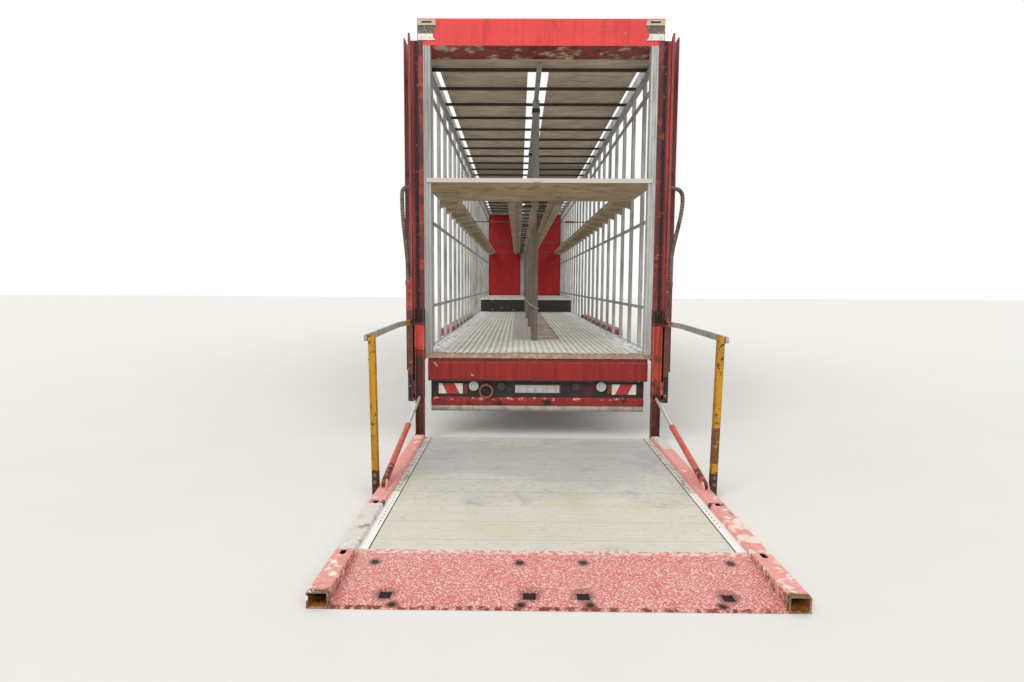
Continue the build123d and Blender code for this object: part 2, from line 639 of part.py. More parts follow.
# Axles with trailing arms, hangers and air springs
AXLE_TUBE_R = 63
AXLE_TUBE_HALF = 780
ARM_X = 500
ARM_HALF = 40
HANGER_FWD = 520
SPRING_BACK = 390
SPRING_R = 105
PLATE_R = 150
axles = []
hangers = []
springs = []
for number, y in wheel_rows:
    tube = rod_x(-AXLE_TUBE_HALF, AXLE_TUBE_HALF, y, TYRE_R, AXLE_TUBE_R)
    axle = [tube]
    for name, side in SIDES:
        axle.append(rod_x(side * AXLE_TUBE_HALF, side * (BORE_END - 3), y, TYRE_R, SPINDLE_R))
        axle.append(rod_x(side * (AXLE_TUBE_HALF - 10), side * AXLE_TUBE_HALF, y, TYRE_R, PLATE_R))
        outline = (
            (y + HANGER_FWD + 45, TYRE_R + 45), (y + HANGER_FWD + 45, TYRE_R - 25),
            (y + 100, TYRE_R - AXLE_TUBE_R - 40), (y - SPRING_BACK - 110, TYRE_R - AXLE_TUBE_R - 30),
            (y - SPRING_BACK - 110, TYRE_R - AXLE_TUBE_R), (y - SPRING_BACK + 110, TYRE_R - AXLE_TUBE_R),
            (y - 60, TYRE_R - 20),
            (y + 90, TYRE_R - 20), (y + HANGER_FWD - 45, TYRE_R + 45),
        )
        arm = side_plate(outline, side * ARM_X - ARM_HALF, side * ARM_X + ARM_HALF)
        axle.append(arm)
        hanger_outline = (
            (y + HANGER_FWD + 110, BEAM_LOW_Z), (y + HANGER_FWD + 45, TYRE_R - 30),
            (y + HANGER_FWD - 45, TYRE_R - 30), (y + HANGER_FWD - 110, BEAM_LOW_Z),
        )
        for near, far in ((-ARM_HALF - 12, -ARM_HALF - 2), (ARM_HALF + 2, ARM_HALF + 12)):
            hangers.append(side_plate(hanger_outline, side * ARM_X + near, side * ARM_X + far))
        axle.append(
            rod_x(side * ARM_X - ARM_HALF - 2, side * ARM_X + ARM_HALF + 2, y + HANGER_FWD, TYRE_R + 10, 20)
        )
        spring_y = y - SPRING_BACK
        low = TYRE_R - AXLE_TUBE_R
        springs.append(rod_z(side * ARM_X, spring_y, low + 0, BEAM_LOW_Z, SPRING_R))
    axles.append(joined(axle))
nodes["axles"] = axles
for index, (name, side) in enumerate(SIDES):
    carried = [hanger for hanger in hangers if hanger.center().X * side > 0]
    beams[index] = joined([beams[index]] + carried)
nodes["frame_beams"] = beams
nodes["air_springs"] = springs

# Landing legs
LEG_Y = CROSS_FIRST + CROSS_PITCH * 12.5 + CROSS_W / 2
LEG_HALF = 60
LEG_X = BEAM_X + BEAM_FLANGE / 2 + 20 + LEG_HALF
LEG_HOUSING_LOW = 330
legs = []
for name, side in SIDES:
    x0 = LEG_X - LEG_HALF
    x1 = LEG_X + LEG_HALF
    leg = [side_box(side, x0, x1, LEG_Y - LEG_HALF, LEG_Y + LEG_HALF, LEG_HOUSING_LOW, LOW_TOP - 6)]
    leg.append(side_box(side, x0 + 10, x1 - 10, LEG_Y - 50, LEG_Y + 50, 60, LEG_HOUSING_LOW))
    leg.append(side_box(side, LEG_X - 130, LEG_X + 130, LEG_Y - 130, LEG_Y + 130, 0, 14))
    leg.append(side_box(side, LEG_X - 40, LEG_X + 40, LEG_Y - 60, LEG_Y + 60, 14, 60))
    leg.append(side_box(side, BEAM_X + BEAM_FLANGE / 2, x0, LEG_Y - 150, LEG_Y + 150, BEAM_LOW_Z, LOW_TOP - 4))
    legs.append(joined(leg))
SHAFT_R = 14
SHAFT_Z = BEAM_LOW_Z - 40
CRANK_REACH = 150
GEARBOX = (LEG_X + LEG_HALF, LEG_X + LEG_HALF + 70)
shaft = rod_x(-LEG_X, LEG_X, LEG_Y, SHAFT_Z, SHAFT_R)
gearbox = box(*GEARBOX, LEG_Y - 45, LEG_Y + 45, SHAFT_Z - 50, SHAFT_Z + 50)
crank = rod_x(GEARBOX[1], GEARBOX[1] + 60, LEG_Y, SHAFT_Z, SHAFT_R)
crank_arm = box(GEARBOX[1] + 40, GEARBOX[1] + 60, LEG_Y, LEG_Y + CRANK_REACH, SHAFT_Z - 12, SHAFT_Z + 12)
handle = rod_x(GEARBOX[1] + 40, GEARBOX[1] + 160, LEG_Y + CRANK_REACH, SHAFT_Z, 12)
nodes["landing_legs"] = [joined(legs + [shaft, gearbox, crank, crank_arm, handle])]

# Underrun guard with its tube, lamp carrier and what it carries
GUARD_INSET = 20
GUARD_HALF = SILL_HALF - GUARD_INSET
GUARD_Y = (60, 150)
GUARD_ARM_DROP = 200
GUARD_Z = (335, 416)
TUBE_R = 32
TUBE_WALL = 4
TUBE_SEAT = 2
GUARD_ARM_END = BEAM_REAR_Y + 310
BEAM_SLOPE_Z = LOW_TOP - 200 - (LOW_TOP - 200 - BEAM_LOW_Z) * 310 / 500
GUARD_ROUND = 14
guard_beam = box(-GUARD_HALF, GUARD_HALF, *GUARD_Y, *GUARD_Z)
guard = [fillet(guard_beam.edges().filter_by(Axis.X).group_by(Axis.Y)[0], GUARD_ROUND)]
tube_at = (GUARD_Y[0] + TUBE_R, GUARD_Z[0] - TUBE_R + TUBE_SEAT)
tube = rod_x(-GUARD_HALF, GUARD_HALF, *tube_at, TUBE_R)
guard.append(tube)
for name, side in SIDES:
    outline = (
        (BEAM_REAR_Y, GUARD_Z[1]), (GUARD_Y[1], GUARD_Z[1]), (GUARD_ARM_END, BEAM_SLOPE_Z),
        (BEAM_REAR_Y, LOW_TOP - GUARD_ARM_DROP),
    )
    guard.append(side_plate(outline, side * BEAM_X - 20, side * BEAM_X + 20))
nodes["underrun_guard"] = [joined(guard) - rod_x(-GUARD_HALF, GUARD_HALF, *tube_at, TUBE_R - TUBE_WALL)]
CARRIER_Y = GUARD_Y[0] + GUARD_ROUND
CARRIER_T = 8
carrier = [box(-GUARD_HALF, GUARD_HALF, CARRIER_Y, CARRIER_Y + CARRIER_T, GUARD_Z[1], SILL_LOW)]
BOARD_IN = 735
BOARD_OUT = 975
BOARD_Z = (450, 552)
BOARD_T = 10
PLATE_HALF = 235
boards = []
for name, side in SIDES:
    boards.append(side_box(side, BOARD_IN, BOARD_OUT, CARRIER_Y - BOARD_T, CARRIER_Y, *BOARD_Z))
boards.append(box(-PLATE_HALF, PLATE_HALF, CARRIER_Y - BOARD_T, CARRIER_Y, *BOARD_Z))
nodes["rear_boards"] = boards
lamp_rows = (
    # x, z, radius, depth
    (-628, 530, 48, 30),
    (628, 530, 48, 30),
    (-357, 525, 40, 22),
    (380, 525, 40, 22),
)
lamps = [
    side_box(side, BOARD_IN - 47, BOARD_IN - 7, CARRIER_Y - 16, CARRIER_Y, BOARD_Z[0] + 5, BOARD_Z[1] - 4)
    for name, side in SIDES
]
for x, z, radius, depth in lamp_rows:
    lamps.append(rod_y(x, CARRIER_Y - depth, CARRIER_Y, z, radius))
nodes["rear_lamps"] = lamps
RING_X = -505
RING_Z = 480
ring = Pos(RING_X, CARRIER_Y - 42, RING_Z) * Rot(90, 0, 0) * Torus(62, 11)
shank = box(RING_X - 15, RING_X + 15, CARRIER_Y - 52, CARRIER_Y, RING_Z + 52, RING_Z + 76)
nodes["lamp_carrier"] = [joined(carrier + [shank, ring])]

# Lift columns: inward-facing channels outside the portal, with a foot plate
COL_Y0 = -95
COL_T = 8
COL_LOW = 430
COL_TOP = ROOF_RAIL_TOP - 15
COL_FRONT_TOP = HEADER_LOW + 40
COL_OUT = OVERALL_HALF - 53
TAB_T = 6
TAB_IN = ARM_OUT + MOVE_GAP
LIP_IN = TAB_IN + TAB_T + MOVE_GAP
FRONT_FLANGE_IN = POST_IN + 70
FOOT_H = 30
COVER_PLATE_T = 4
cover_plate_z = (1280, 1590)
HOSE_R = 19
HOSE_Y = -72
HOSE_LOW_Z = 1560
HOSE_TOP_Z = 2430
FERRULE_R = 23
FERRULE_L = 14
CLIP_H = 45
CLIP_REACH = 44
GUIDE_OUT = COL_OUT + 28
GUIDE_Y = COL_Y0 + 40
HOSE_END_X = COL_OUT + 22
columns = []
for name, side in SIDES:
    web = side_box(side, COL_OUT - COL_T, COL_OUT, COL_Y0, 0, COL_LOW, COL_TOP)
    rear_flange = side_box(side, LIP_IN, COL_OUT, COL_Y0, COL_Y0 + COL_T, COL_LOW, COL_TOP)
    front_flange = side_box(side, FRONT_FLANGE_IN, COL_OUT, -COL_T, 0, COL_LOW, COL_FRONT_TOP)
    foot = side_box(side, LIP_IN - 8, GUIDE_OUT, COL_Y0, 0, COL_LOW - FOOT_H, COL_LOW)
    hose_guide = side_box(side, COL_OUT, GUIDE_OUT, COL_Y0, GUIDE_Y, COL_LOW, HOSE_LOW_Z - CLIP_H)
    cover_plate = side_box(side, LIP_IN, GUIDE_OUT, COL_Y0 - COVER_PLATE_T, COL_Y0, *cover_plate_z)
    ferrule = rod_x(side * COL_OUT, side * (COL_OUT + FERRULE_L), HOSE_Y, HOSE_TOP_Z, FERRULE_R)
    clip = side_box(
        side, COL_OUT, COL_OUT + CLIP_REACH, HOSE_Y - FERRULE_R, HOSE_Y + FERRULE_R, HOSE_LOW_Z - CLIP_H, HOSE_LOW_Z
    )
    columns.append(joined([web, rear_flange, front_flange, foot, hose_guide, cover_plate, ferrule, clip]))
nodes["lift_columns"] = columns

# Fairings: upright plates outside the columns on short stays
FAIRING_T = 6
FAIRING_LOW = 690
FAIRING_TOP = ROOF_RAIL_TOP - 25
FAIRING_CUT = 12
STAY_HALF = 20
STAY_T = 20
STAY_BACK = 40
fairing_rows = (
    # side name, side, rear edge
    ("left", -1, -20),
    ("right", 1, HOSE_Y + HOSE_R + MOVE_GAP),
)
FAIRING_LONG = 290
fairings = []
for name, side, rear in fairing_rows:
    front = rear + FAIRING_LONG
    outline = (
        (rear, FAIRING_LOW), (rear, FAIRING_TOP - FAIRING_CUT), (rear + FAIRING_CUT, FAIRING_TOP),
        (front - FAIRING_CUT, FAIRING_TOP), (front, FAIRING_TOP - FAIRING_CUT), (front, FAIRING_LOW),
    )
    pieces = [side_plate(outline, side * (OVERALL_HALF - FAIRING_T), side * OVERALL_HALF)]
    for i in range(4):
        z = FLOOR_Z - 40 + i * (ROOF_RAIL_LOW - FLOOR_Z) / 3.2
        inner = BODY_HALF if z < FLOOR_Z else WALL_IN
        pieces.append(
            side_box(
                side, inner, OVERALL_HALF - FAIRING_T, front - STAY_BACK - STAY_T, front - STAY_BACK,
                z - STAY_HALF, z + STAY_HALF,
            )
        )
    fairings.append(joined(pieces))
nodes["side_fairings"] = fairings

# Carriages: channels open to the rear, with guide blocks in the columns
CAR_Y0 = -75
CAR_Y1 = -14
CAR_T = 6
CAR_LOW = 5
CAR_TOP = 1290
LUG_R = 30
CYL_HEAD_Y = -51
CYL_HEAD_Z = 440
PIVOT_Y = HINGE_Y - RAIL_LEAN
PIVOT_Z = HINGE_Z + RAIL_RISE
TAB_HALF = 40
EYE_PLATE = 22
EYE_IN = TAB_IN + TAB_T + 6
EYE_OUT = EYE_IN + EYE_PLATE
RAIL_PIN_R = 10
guide_rows = ((470, 600), (1150, 1280))
carriages = []
for name, side in SIDES:
    pieces = [side_box(side, CAR_IN, CAR_OUT, CAR_Y1 - CAR_T, CAR_Y1, CAR_LOW, CAR_TOP)]
    for x0 in (CAR_IN, CAR_OUT - CAR_T):
        pieces.append(side_box(side, x0, x0 + CAR_T, CAR_Y0, CAR_Y1, CAR_LOW, CAR_TOP))
        pieces.append(side_box(side, x0, x0 + CAR_T, HINGE_Y, CAR_Y0, HINGE_Z - LUG_R, HINGE_Z + LUG_R))
        pieces.append(rod_x(side * x0, side * (x0 + CAR_T), HINGE_Y, HINGE_Z, LUG_R))
    pieces.append(rod_x(side * CAR_IN, side * CAR_OUT, HINGE_Y, HINGE_Z, HINGE_PIN_R))
    for low, high in guide_rows:
        pieces.append(side_box(side, CAR_OUT, COL_OUT - COL_T - RUN, CAR_Y0 - 3, -COL_T - RUN, low, high))
    low, high = PIVOT_Z - TAB_HALF, PIVOT_Z + TAB_HALF
    pieces.append(side_box(side, CAR_OUT, TAB_IN + TAB_T, CAR_Y0, CAR_Y0 + 40, low, high))
    tab_outline = (
        (CAR_Y0, low), (CAR_Y0, high), (PIVOT_Y, PIVOT_Z + 28), (PIVOT_Y - 26, PIVOT_Z + 10),
        (PIVOT_Y - 26, PIVOT_Z - 10), (PIVOT_Y, PIVOT_Z - 28),
    )
    pieces.append(side_plate(tab_outline, side * TAB_IN, side * (TAB_IN + TAB_T)))
    pieces.append(rod_x(side * (TAB_IN + TAB_T), side * EYE_OUT, PIVOT_Y, PIVOT_Z, RAIL_PIN_R))
    carriages.append(joined(pieces))
nodes["lift_carriages"] = carriages

# Platform: planks, ramp and side arms
RAMP_TIP_Z = 10
PLANK_PITCH = 182.5
SEAM_W = 4
SEAM_DEEP = 3
STRIP_W = 60
STRIP_H = 3
planks = box(-ARM_IN, ARM_IN, PLANK_END_Y, PLANK_FRONT_Y, PLANK_TOP - PLANK_THICK, PLANK_TOP)
seam_y = PLANK_END_Y + PLANK_PITCH
while seam_y < PLANK_FRONT_Y - PLANK_PITCH / 2:
    planks = planks - box(-ARM_IN, ARM_IN, seam_y, seam_y + SEAM_W, PLANK_TOP - SEAM_DEEP, PLANK_TOP)
    seam_y += PLANK_PITCH
strips = [
    side_box(side, ARM_IN - STRIP_W, ARM_IN, PLANK_END_Y, PLANK_FRONT_Y, PLANK_TOP, PLANK_TOP + STRIP_H)
    for name, side in SIDES
]
nodes["platform_deck"] = [joined([planks] + strips)]
ramp_outline = (
    (PLANK_END_Y, PLANK_TOP), (ARM_END_Y, RAMP_TIP_Z), (ARM_END_Y, 2), (PLANK_END_Y, 15),
)
ramp = side_plate(ramp_outline, -ARM_IN, ARM_IN)
POCKET_INNER = 131
POCKET_OUTER = 836
POCKET_X = 62
POCKET_Y = 78
POCKET_Z = 8
POCKET_ROW_Y = ARM_END_Y + 114
for x in (-POCKET_OUTER, -POCKET_INNER, POCKET_INNER, POCKET_OUTER):
    ramp = ramp - box(
        x - POCKET_X / 2, x + POCKET_X / 2, POCKET_ROW_Y - POCKET_Y / 2, POCKET_ROW_Y + POCKET_Y / 2, POCKET_Z, PLANK_TOP
    )
nodes["platform_ramp"] = [ramp]
ARM_WALL = 8
ARM_FRONT_Y = HINGE_Y - 42
EYE_R = 28
ARM_BOTTOM = 2
ARM_ROUND = 12
POST_X0 = TAB_IN + TAB_T
POST_X1 = POST_X0 + 45
POST_PIN_R = 14
BAR_IN = POST_X1 + 6
BAR_OUT = BAR_IN + EYE_PLATE
P_Y = HINGE_Y - POST_REACH
P_Z = POST_BASE_Z
CYL_REACH = 1550
CYL_BASE_Y = HINGE_Y - CYL_REACH
CYL_BASE_Z = HINGE_Z + 67
CYL_X = (CAR_IN + CAR_OUT) / 2
CYL_PIN_R = 9
EAR_GAP = 28
EAR_T = 8
EAR_LONG = 80
POCKET_LONG = 70
POCKET_WIDE = 34
pocket_rows = (-1970, -2740)
STRIP_PLATE_Y = (-600, -170)
STRIP_PLATE_T = 3
platform_arms = []
for name, side in SIDES:
    tube = side_box(side, ARM_IN, ARM_OUT, ARM_END_Y, ARM_FRONT_Y, ARM_BOTTOM, ARM_TOP)
    tube = fillet(tube.edges().filter_by(Axis.Y).group_by(Axis.Z)[-1], ARM_ROUND)
    bore = side_box(
        side, ARM_IN + ARM_WALL, ARM_OUT - ARM_WALL, ARM_END_Y - 1, ARM_FRONT_Y - 60,
        ARM_BOTTOM + ARM_WALL, ARM_TOP - ARM_WALL,
    )
    arm = tube - bore
    arm_x = side * (ARM_IN + ARM_OUT) / 2
    for y in pocket_rows:
        slot = Pos(arm_x, y, ARM_TOP - 2 * ARM_WALL) * Rot(0, 0, 90) * SlotOverall(POCKET_LONG, POCKET_WIDE)
        arm = arm - extrude(slot, 3 * ARM_WALL)
    tongue_x = (CAR_IN + CAR_T + 6, CAR_OUT - CAR_T - 6)
    tongue = side_box(side, *tongue_x, ARM_FRONT_Y, HINGE_Y, HINGE_Z - EYE_R, HINGE_Z + EYE_R)
    eye = rod_x(side * tongue_x[0], side * tongue_x[1], HINGE_Y, HINGE_Z, EYE_R)
    arm = arm + tongue + eye
    arm = arm - rod_x(side * ARM_IN, side * ARM_OUT, HINGE_Y, HINGE_Z, HINGE_PIN_R + PIN_FIT)
    arm = arm + rod_x(side * ARM_OUT, side * (POST_X0 - RUN), P_Y, P_Z, 24)
    arm = arm + rod_x(side * ARM_OUT, side * POST_X1, P_Y, P_Z, POST_PIN_R)
    for x in (CYL_X - EAR_GAP / 2 - EAR_T, CYL_X + EAR_GAP / 2):
        ear = side_box(
            side, x, x + EAR_T, CYL_BASE_Y - EAR_LONG / 2, CYL_BASE_Y + EAR_LONG / 2, ARM_TOP, CYL_BASE_Z
        )
        arm = arm + ear + rod_x(side * x, side * (x + EAR_T), CYL_BASE_Y, CYL_BASE_Z, 22)
    if side > 0:
        arm = arm + box(ARM_IN + ARM_ROUND, ARM_OUT - ARM_ROUND, *STRIP_PLATE_Y, ARM_TOP, ARM_TOP + STRIP_PLATE_T)
    reach = EAR_GAP / 2 + EAR_T
    arm = arm + rod_x(side * (CYL_X - reach), side * (CYL_X + reach), CYL_BASE_Y, CYL_BASE_Z, CYL_PIN_R)
    platform_arms.append(arm)
nodes["platform_arms"] = platform_arms

# Handrail posts and top bars, a parallelogram with the platform. Each bar is set outwards a little
# behind its front eye, so that the post passes inside it when the platform stands upright.
T_Y = P_Y - RAIL_LEAN
T_Z = P_Z + RAIL_RISE
POST_DEPTH_Y = 50
BAR_DEPTH = 44
SET_START = 60
SET_END = 300
POST_ROUND = 10
for name, side in SIDES:
    half = POST_DEPTH_Y / 2
    outline = (
        (P_Y - half, P_Z - half), (P_Y + half, P_Z - half), (T_Y + half, T_Z + half), (T_Y - half, T_Z + half),
    )
    post = side_plate(outline, side * POST_X0, side * POST_X1)
    post = fillet(post.edges().filter_by(Axis.X).group_by(Axis.Z)[-1], POST_ROUND)
    post = post - rod_x(side * (POST_X0 - 1), side * (POST_X1 + 1), P_Y, P_Z, POST_PIN_R + PIN_FIT)
    post = post + rod_x(side * POST_X1, side * (BAR_IN - RUN), T_Y, T_Z, 20)
    post = post + rod_x(side * POST_X1, side * BAR_OUT, T_Y, T_Z, RAIL_PIN_R)
    nodes["handrail_post_" + name] = [post]
    deep = BAR_DEPTH / 2
    outline = (
        (PIVOT_Y + deep, PIVOT_Z - deep), (PIVOT_Y + deep, PIVOT_Z + deep),
        (T_Y - deep - 3, T_Z + deep), (T_Y - deep - 3, T_Z - deep),
    )
    front = PIVOT_Y + deep + 1
    plan = (
        (side * EYE_IN, front), (side * EYE_OUT, front), (side * EYE_OUT, PIVOT_Y - SET_START),
        (side * BAR_OUT, PIVOT_Y - SET_END), (side * BAR_OUT, T_Y - deep - 4), (side * BAR_IN, T_Y - deep - 4),
        (side * BAR_IN, PIVOT_Y - SET_END), (side * EYE_IN, PIVOT_Y - SET_START),
    )
    tall = side_plate(outline, side * EYE_IN, side * BAR_OUT)
    bar = tall & plan_plate(plan, T_Z - BAR_DEPTH, PIVOT_Z + BAR_DEPTH)
    bar = bar - rod_x(side * (BAR_IN - 1), side * (BAR_OUT + 1), T_Y, T_Z, RAIL_PIN_R + PIN_FIT)
    bar = bar - rod_x(side * (EYE_IN - 1), side * (EYE_OUT + 1), PIVOT_Y, PIVOT_Z, RAIL_PIN_R + 1)
    nodes["handrail_bar_" + name] = [bar]

# Closing cylinders: barrels hinged on the arms, rods that slide in them
BARREL_R = 24
BARREL_LEN = 980
ROD_R = 14
HEAD_EYE_R = 17
EYE_WIDE = 24
NECK_LONG = 45
GLAND_R = 26
GLAND_L = 34
BORE_LONG = 600
HEAD_PIN_LENGTH = CAR_OUT - CAR_IN - 2 * CAR_T - 5
cyl_vector = Vector(0, CYL_HEAD_Y - CYL_BASE_Y, CYL_HEAD_Z - CYL_BASE_Z)
cyl_length = cyl_vector.length
for name, side in SIDES:
    x = side * CYL_X
    plane = Plane(origin=(x, CYL_BASE_Y, CYL_BASE_Z), x_dir=(1, 0, 0), z_dir=cyl_vector)
    base_eye = plane * Rot(0, 90, 0) * Cylinder(22, EYE_WIDE)
    neck = plane * Pos(0, 0, 25) * Box(20, 26, 50)
    barrel = plane * Pos(0, 0, (NECK_LONG + BARREL_LEN) / 2) * Cylinder(BARREL_R, BARREL_LEN - NECK_LONG)
    gland = plane * Pos(0, 0, BARREL_LEN - GLAND_L / 2) * Cylinder(GLAND_R, GLAND_L)
    hole = plane * Rot(0, 90, 0) * Cylinder(CYL_PIN_R + PIN_FIT, 60)
    bore_start = BARREL_LEN - 560
    bore = plane * Pos(0, 0, bore_start + BORE_LONG / 2) * Cylinder(ROD_R + PIN_FIT, BORE_LONG)
    nodes["cylinder_barrel_" + name] = [joined([base_eye, neck, barrel, gland]) - hole - bore]
    rod_start = BARREL_LEN - 30
    rod_end = cyl_length - HEAD_EYE_R / 2
    rod = plane * Pos(0, 0, (rod_start + rod_end) / 2) * Cylinder(ROD_R, rod_end - rod_start)
    eye = plane * Pos(0, 0, cyl_length) * Rot(0, 90, 0) * Cylinder(HEAD_EYE_R, EYE_WIDE)
    head_pin = plane * Pos(0, 0, cyl_length) * Rot(0, 90, 0) * Cylinder(CYL_PIN_R, HEAD_PIN_LENGTH)
    nodes["cylinder_rod_" + name] = [rod + eye + head_pin]

# Lift hoses: each leaves its column, arches outwards and comes down to a clip
hose_rows = (
    # side name, side, (distance from the middle plane, height) from the ferrule to the clip
    ("left", -1, (
        (COL_OUT + FERRULE_L, HOSE_TOP_Z), (1250, HOSE_TOP_Z), (1270, 2423), (1285, 2405), (1292, 2380), (1293, 2300),
        (1289, 2180), (1277, 2040), (1262, 1900), (1250, 1770), (HOSE_END_X, 1670), (HOSE_END_X, HOSE_LOW_Z),
    )),
    ("right", 1, (
        (COL_OUT + FERRULE_L, HOSE_TOP_Z), (1262, HOSE_TOP_Z), (1300, 2420), (1328, 2393), (1340, 2350), (1339, 2270),
        (1324, 2160), (1296, 2030), (1264, 1890), (HOSE_END_X, 1740), (HOSE_END_X, HOSE_LOW_Z),
    )),
)


def hose_radii(points):
    """The largest arc that the two runs beside each inner point allow."""
    radii = []
    for before, here, after in zip(points, points[1:], points[2:]):
        first = Vector(*here) - Vector(*before)
        second = Vector(*after) - Vector(*here)
        turn = radians(first.get_angle(second))
        radii.append(0.45 * min(first.length, second.length) / tan(turn / 2))
    return radii


hoses = []
for name, side, route in hose_rows:
    points = [(side * x, HOSE_Y, z) for x, z in route]
    radii = hose_radii(points)
    print("hose", name, "radii", [round(r) for r in radii])
    path = FilletPolyline(*points, radius=radii)
    hose = sweep(Plane(origin=path @ 0, z_dir=path % 0) * Circle(HOSE_R), path)
    print("volume over section times length", round(hose.volume / (pi * HOSE_R ** 2 * path.length), 4))
    hoses.append(hose)
nodes["lift_hoses"] = hoses

# Under the floor: pump box, air tanks, mud flaps, side guards
UNDER_LOW = LOW_TOP - CROSS_H
PUMP_Y = CROSS_FIRST + CROSS_PITCH + CROSS_W - 10
PUMP_LONG = 700
PUMP_LOW = 420
PUMP_IN = BEAM_X + 120
nodes["lift_pump_box"] = [
    fillet(
        box(PUMP_IN, WALL_IN - 20, PUMP_Y, PUMP_Y + PUMP_LONG, PUMP_LOW, UNDER_LOW).edges().filter_by(Axis.Z), 25
    )
]
TANK_R = 120
TANK_HALF = 380
DOME = 45
STRAP_W = 40
STRAP_T = 4
STRAP_X = 220
tank_profile = ((0, 0), (0, TANK_HALF), (TANK_R * 0.62, TANK_HALF - 8), (TANK_R, TANK_HALF - DOME), (TANK_R, 0))
tanks = []
for row in (10, 11):
    y = CROSS_FIRST + CROSS_PITCH * row + CROSS_W / 2
    half = revolve(Plane.XY * make_face(Polyline(*[(a, r) for r, a in tank_profile], close=True)), Axis.X)
    tank = joined([half, mirror(half, Plane.YZ)])
    placed = Pos(0, y, UNDER_LOW - TANK_R - STRAP_T) * tank
    straps = [
        rod_x(x - STRAP_W / 2, x + STRAP_W / 2, y, UNDER_LOW - TANK_R - STRAP_T, TANK_R + STRAP_T)
        for x in (-STRAP_X, STRAP_X)
    ]
    tanks.append(joined([placed] + straps))
nodes["air_tanks"] = tanks
FLAP_T = 6
FLAP_LOW = 240
FLAP_Y = CROSS_FIRST + 4 * CROSS_PITCH + 20
FLAP_IN = OUTER_TYRE_X - TWIN_PITCH - tyre_half
FLAP_OUT = OUTER_TYRE_X + tyre_half - 5
flaps = []
for name, side in SIDES:
    flaps.append(side_box(side, FLAP_IN, FLAP_OUT, FLAP_Y, FLAP_Y + FLAP_T, FLAP_LOW, UNDER_LOW))
nodes["mud_flaps"] = flaps
SIDE_GUARD_Y = (WHEEL_ZONE[1] + 480, LEG_Y - 75)
SIDE_GUARD_LOW = 420
SIDE_GUARD_H = 90
SIDE_GUARD_T = 25
SIDE_GUARD_POST = 60
SIDE_GUARD_TAIL = 200
SIDE_GUARD_NOSE = 240
SIDE_GUARD_IN = BODY_HALF - 20
SIDE_GUARD_FACE = BODY_HALF + 30
guards = []
for name, side in SIDES:
    pieces = []
    for low in (SIDE_GUARD_LOW, SIDE_GUARD_LOW + 2 * SIDE_GUARD_H):
        outer = SIDE_GUARD_FACE + SIDE_GUARD_T
        outline = (
            (side * SIDE_GUARD_FACE, low), (side * (outer - 8), low), (side * outer, low + 8),
            (side * outer, low + SIDE_GUARD_H - 8), (side * (outer - 8), low + SIDE_GUARD_H),
            (side * SIDE_GUARD_FACE, low + SIDE_GUARD_H),
        )
        pieces.append(cross_plate(outline, *SIDE_GUARD_Y))
    for y in (SIDE_GUARD_Y[0] + SIDE_GUARD_TAIL, SIDE_GUARD_Y[1] - SIDE_GUARD_NOSE):
        pieces.append(
            side_box(
                side, SIDE_GUARD_IN, SIDE_GUARD_FACE, y, y + SIDE_GUARD_POST, SIDE_GUARD_LOW, SIDE_RAIL_LOW
            )
        )
    guards.append(joined(pieces))
nodes["side_guards"] = guards

# Export: the origin goes to the middle of the ground under the vehicle
ORIGIN_Y = (FRONT_Y + ARM_END_Y) / 2
for node, shapes in nodes.items():
    placed = [Pos(0, -ORIGIN_Y, 0) * shape for shape in shapes]
    export_step(placed[0] if len(placed) == 1 else Compound(children=placed), f"parts/{node}.step")
print(len(nodes), "nodes; origin", ORIGIN_Y, "from the portal; cylinder", round(cyl_length, 1))
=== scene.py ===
"""Looks of a double-deck, cage-sided step-frame semi-trailer with a rear column lift.

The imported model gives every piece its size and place. This script gives each surface its finish, and adds
what is too small or too soft for the solids: road tread, wheel nuts, rivets, bolts and sleeved lift hoses.
"""
from __future__ import annotations

import logging
import math
from dataclasses import dataclass
from enum import Enum
from functools import cache
from typing import Callable, Sequence

import bpy
from mathutils import Matrix

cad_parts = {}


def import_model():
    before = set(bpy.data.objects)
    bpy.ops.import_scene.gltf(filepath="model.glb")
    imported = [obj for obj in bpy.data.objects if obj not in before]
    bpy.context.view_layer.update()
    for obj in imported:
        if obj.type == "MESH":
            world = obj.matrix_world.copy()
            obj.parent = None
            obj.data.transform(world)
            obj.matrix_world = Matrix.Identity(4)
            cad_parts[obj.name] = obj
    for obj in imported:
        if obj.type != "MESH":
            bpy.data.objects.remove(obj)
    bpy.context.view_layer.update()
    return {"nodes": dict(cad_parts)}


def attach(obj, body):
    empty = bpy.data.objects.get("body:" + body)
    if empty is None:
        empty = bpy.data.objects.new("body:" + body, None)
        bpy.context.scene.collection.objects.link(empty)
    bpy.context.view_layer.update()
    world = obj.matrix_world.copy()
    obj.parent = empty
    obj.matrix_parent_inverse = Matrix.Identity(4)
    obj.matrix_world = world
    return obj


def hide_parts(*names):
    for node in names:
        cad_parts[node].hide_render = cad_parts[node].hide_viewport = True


logging.basicConfig(level=logging.INFO, format="%(message)s")
log = logging.getLogger("trailer")

MM = 0.001

Tree = bpy.types.NodeTree
Node = bpy.types.Node
Piece = bpy.types.Object
Input = bpy.types.NodeSocket | bpy.types.Node | float
Point = tuple[float, float, float]
Span = tuple[float, float]
Ring = tuple[float, float]
Coat = tuple[Input, Input | str, float]


class Side(Enum):
    """The two sides of the vehicle, with the sign of X on each."""

    LEFT = -1
    RIGHT = 1

    @property
    def label(self) -> str:
        """The word that node names end in."""
        return self.name.lower()


class Axis3(Enum):
    """The axes of the shared frame."""

    X = 0
    Y = 1
    Z = 2


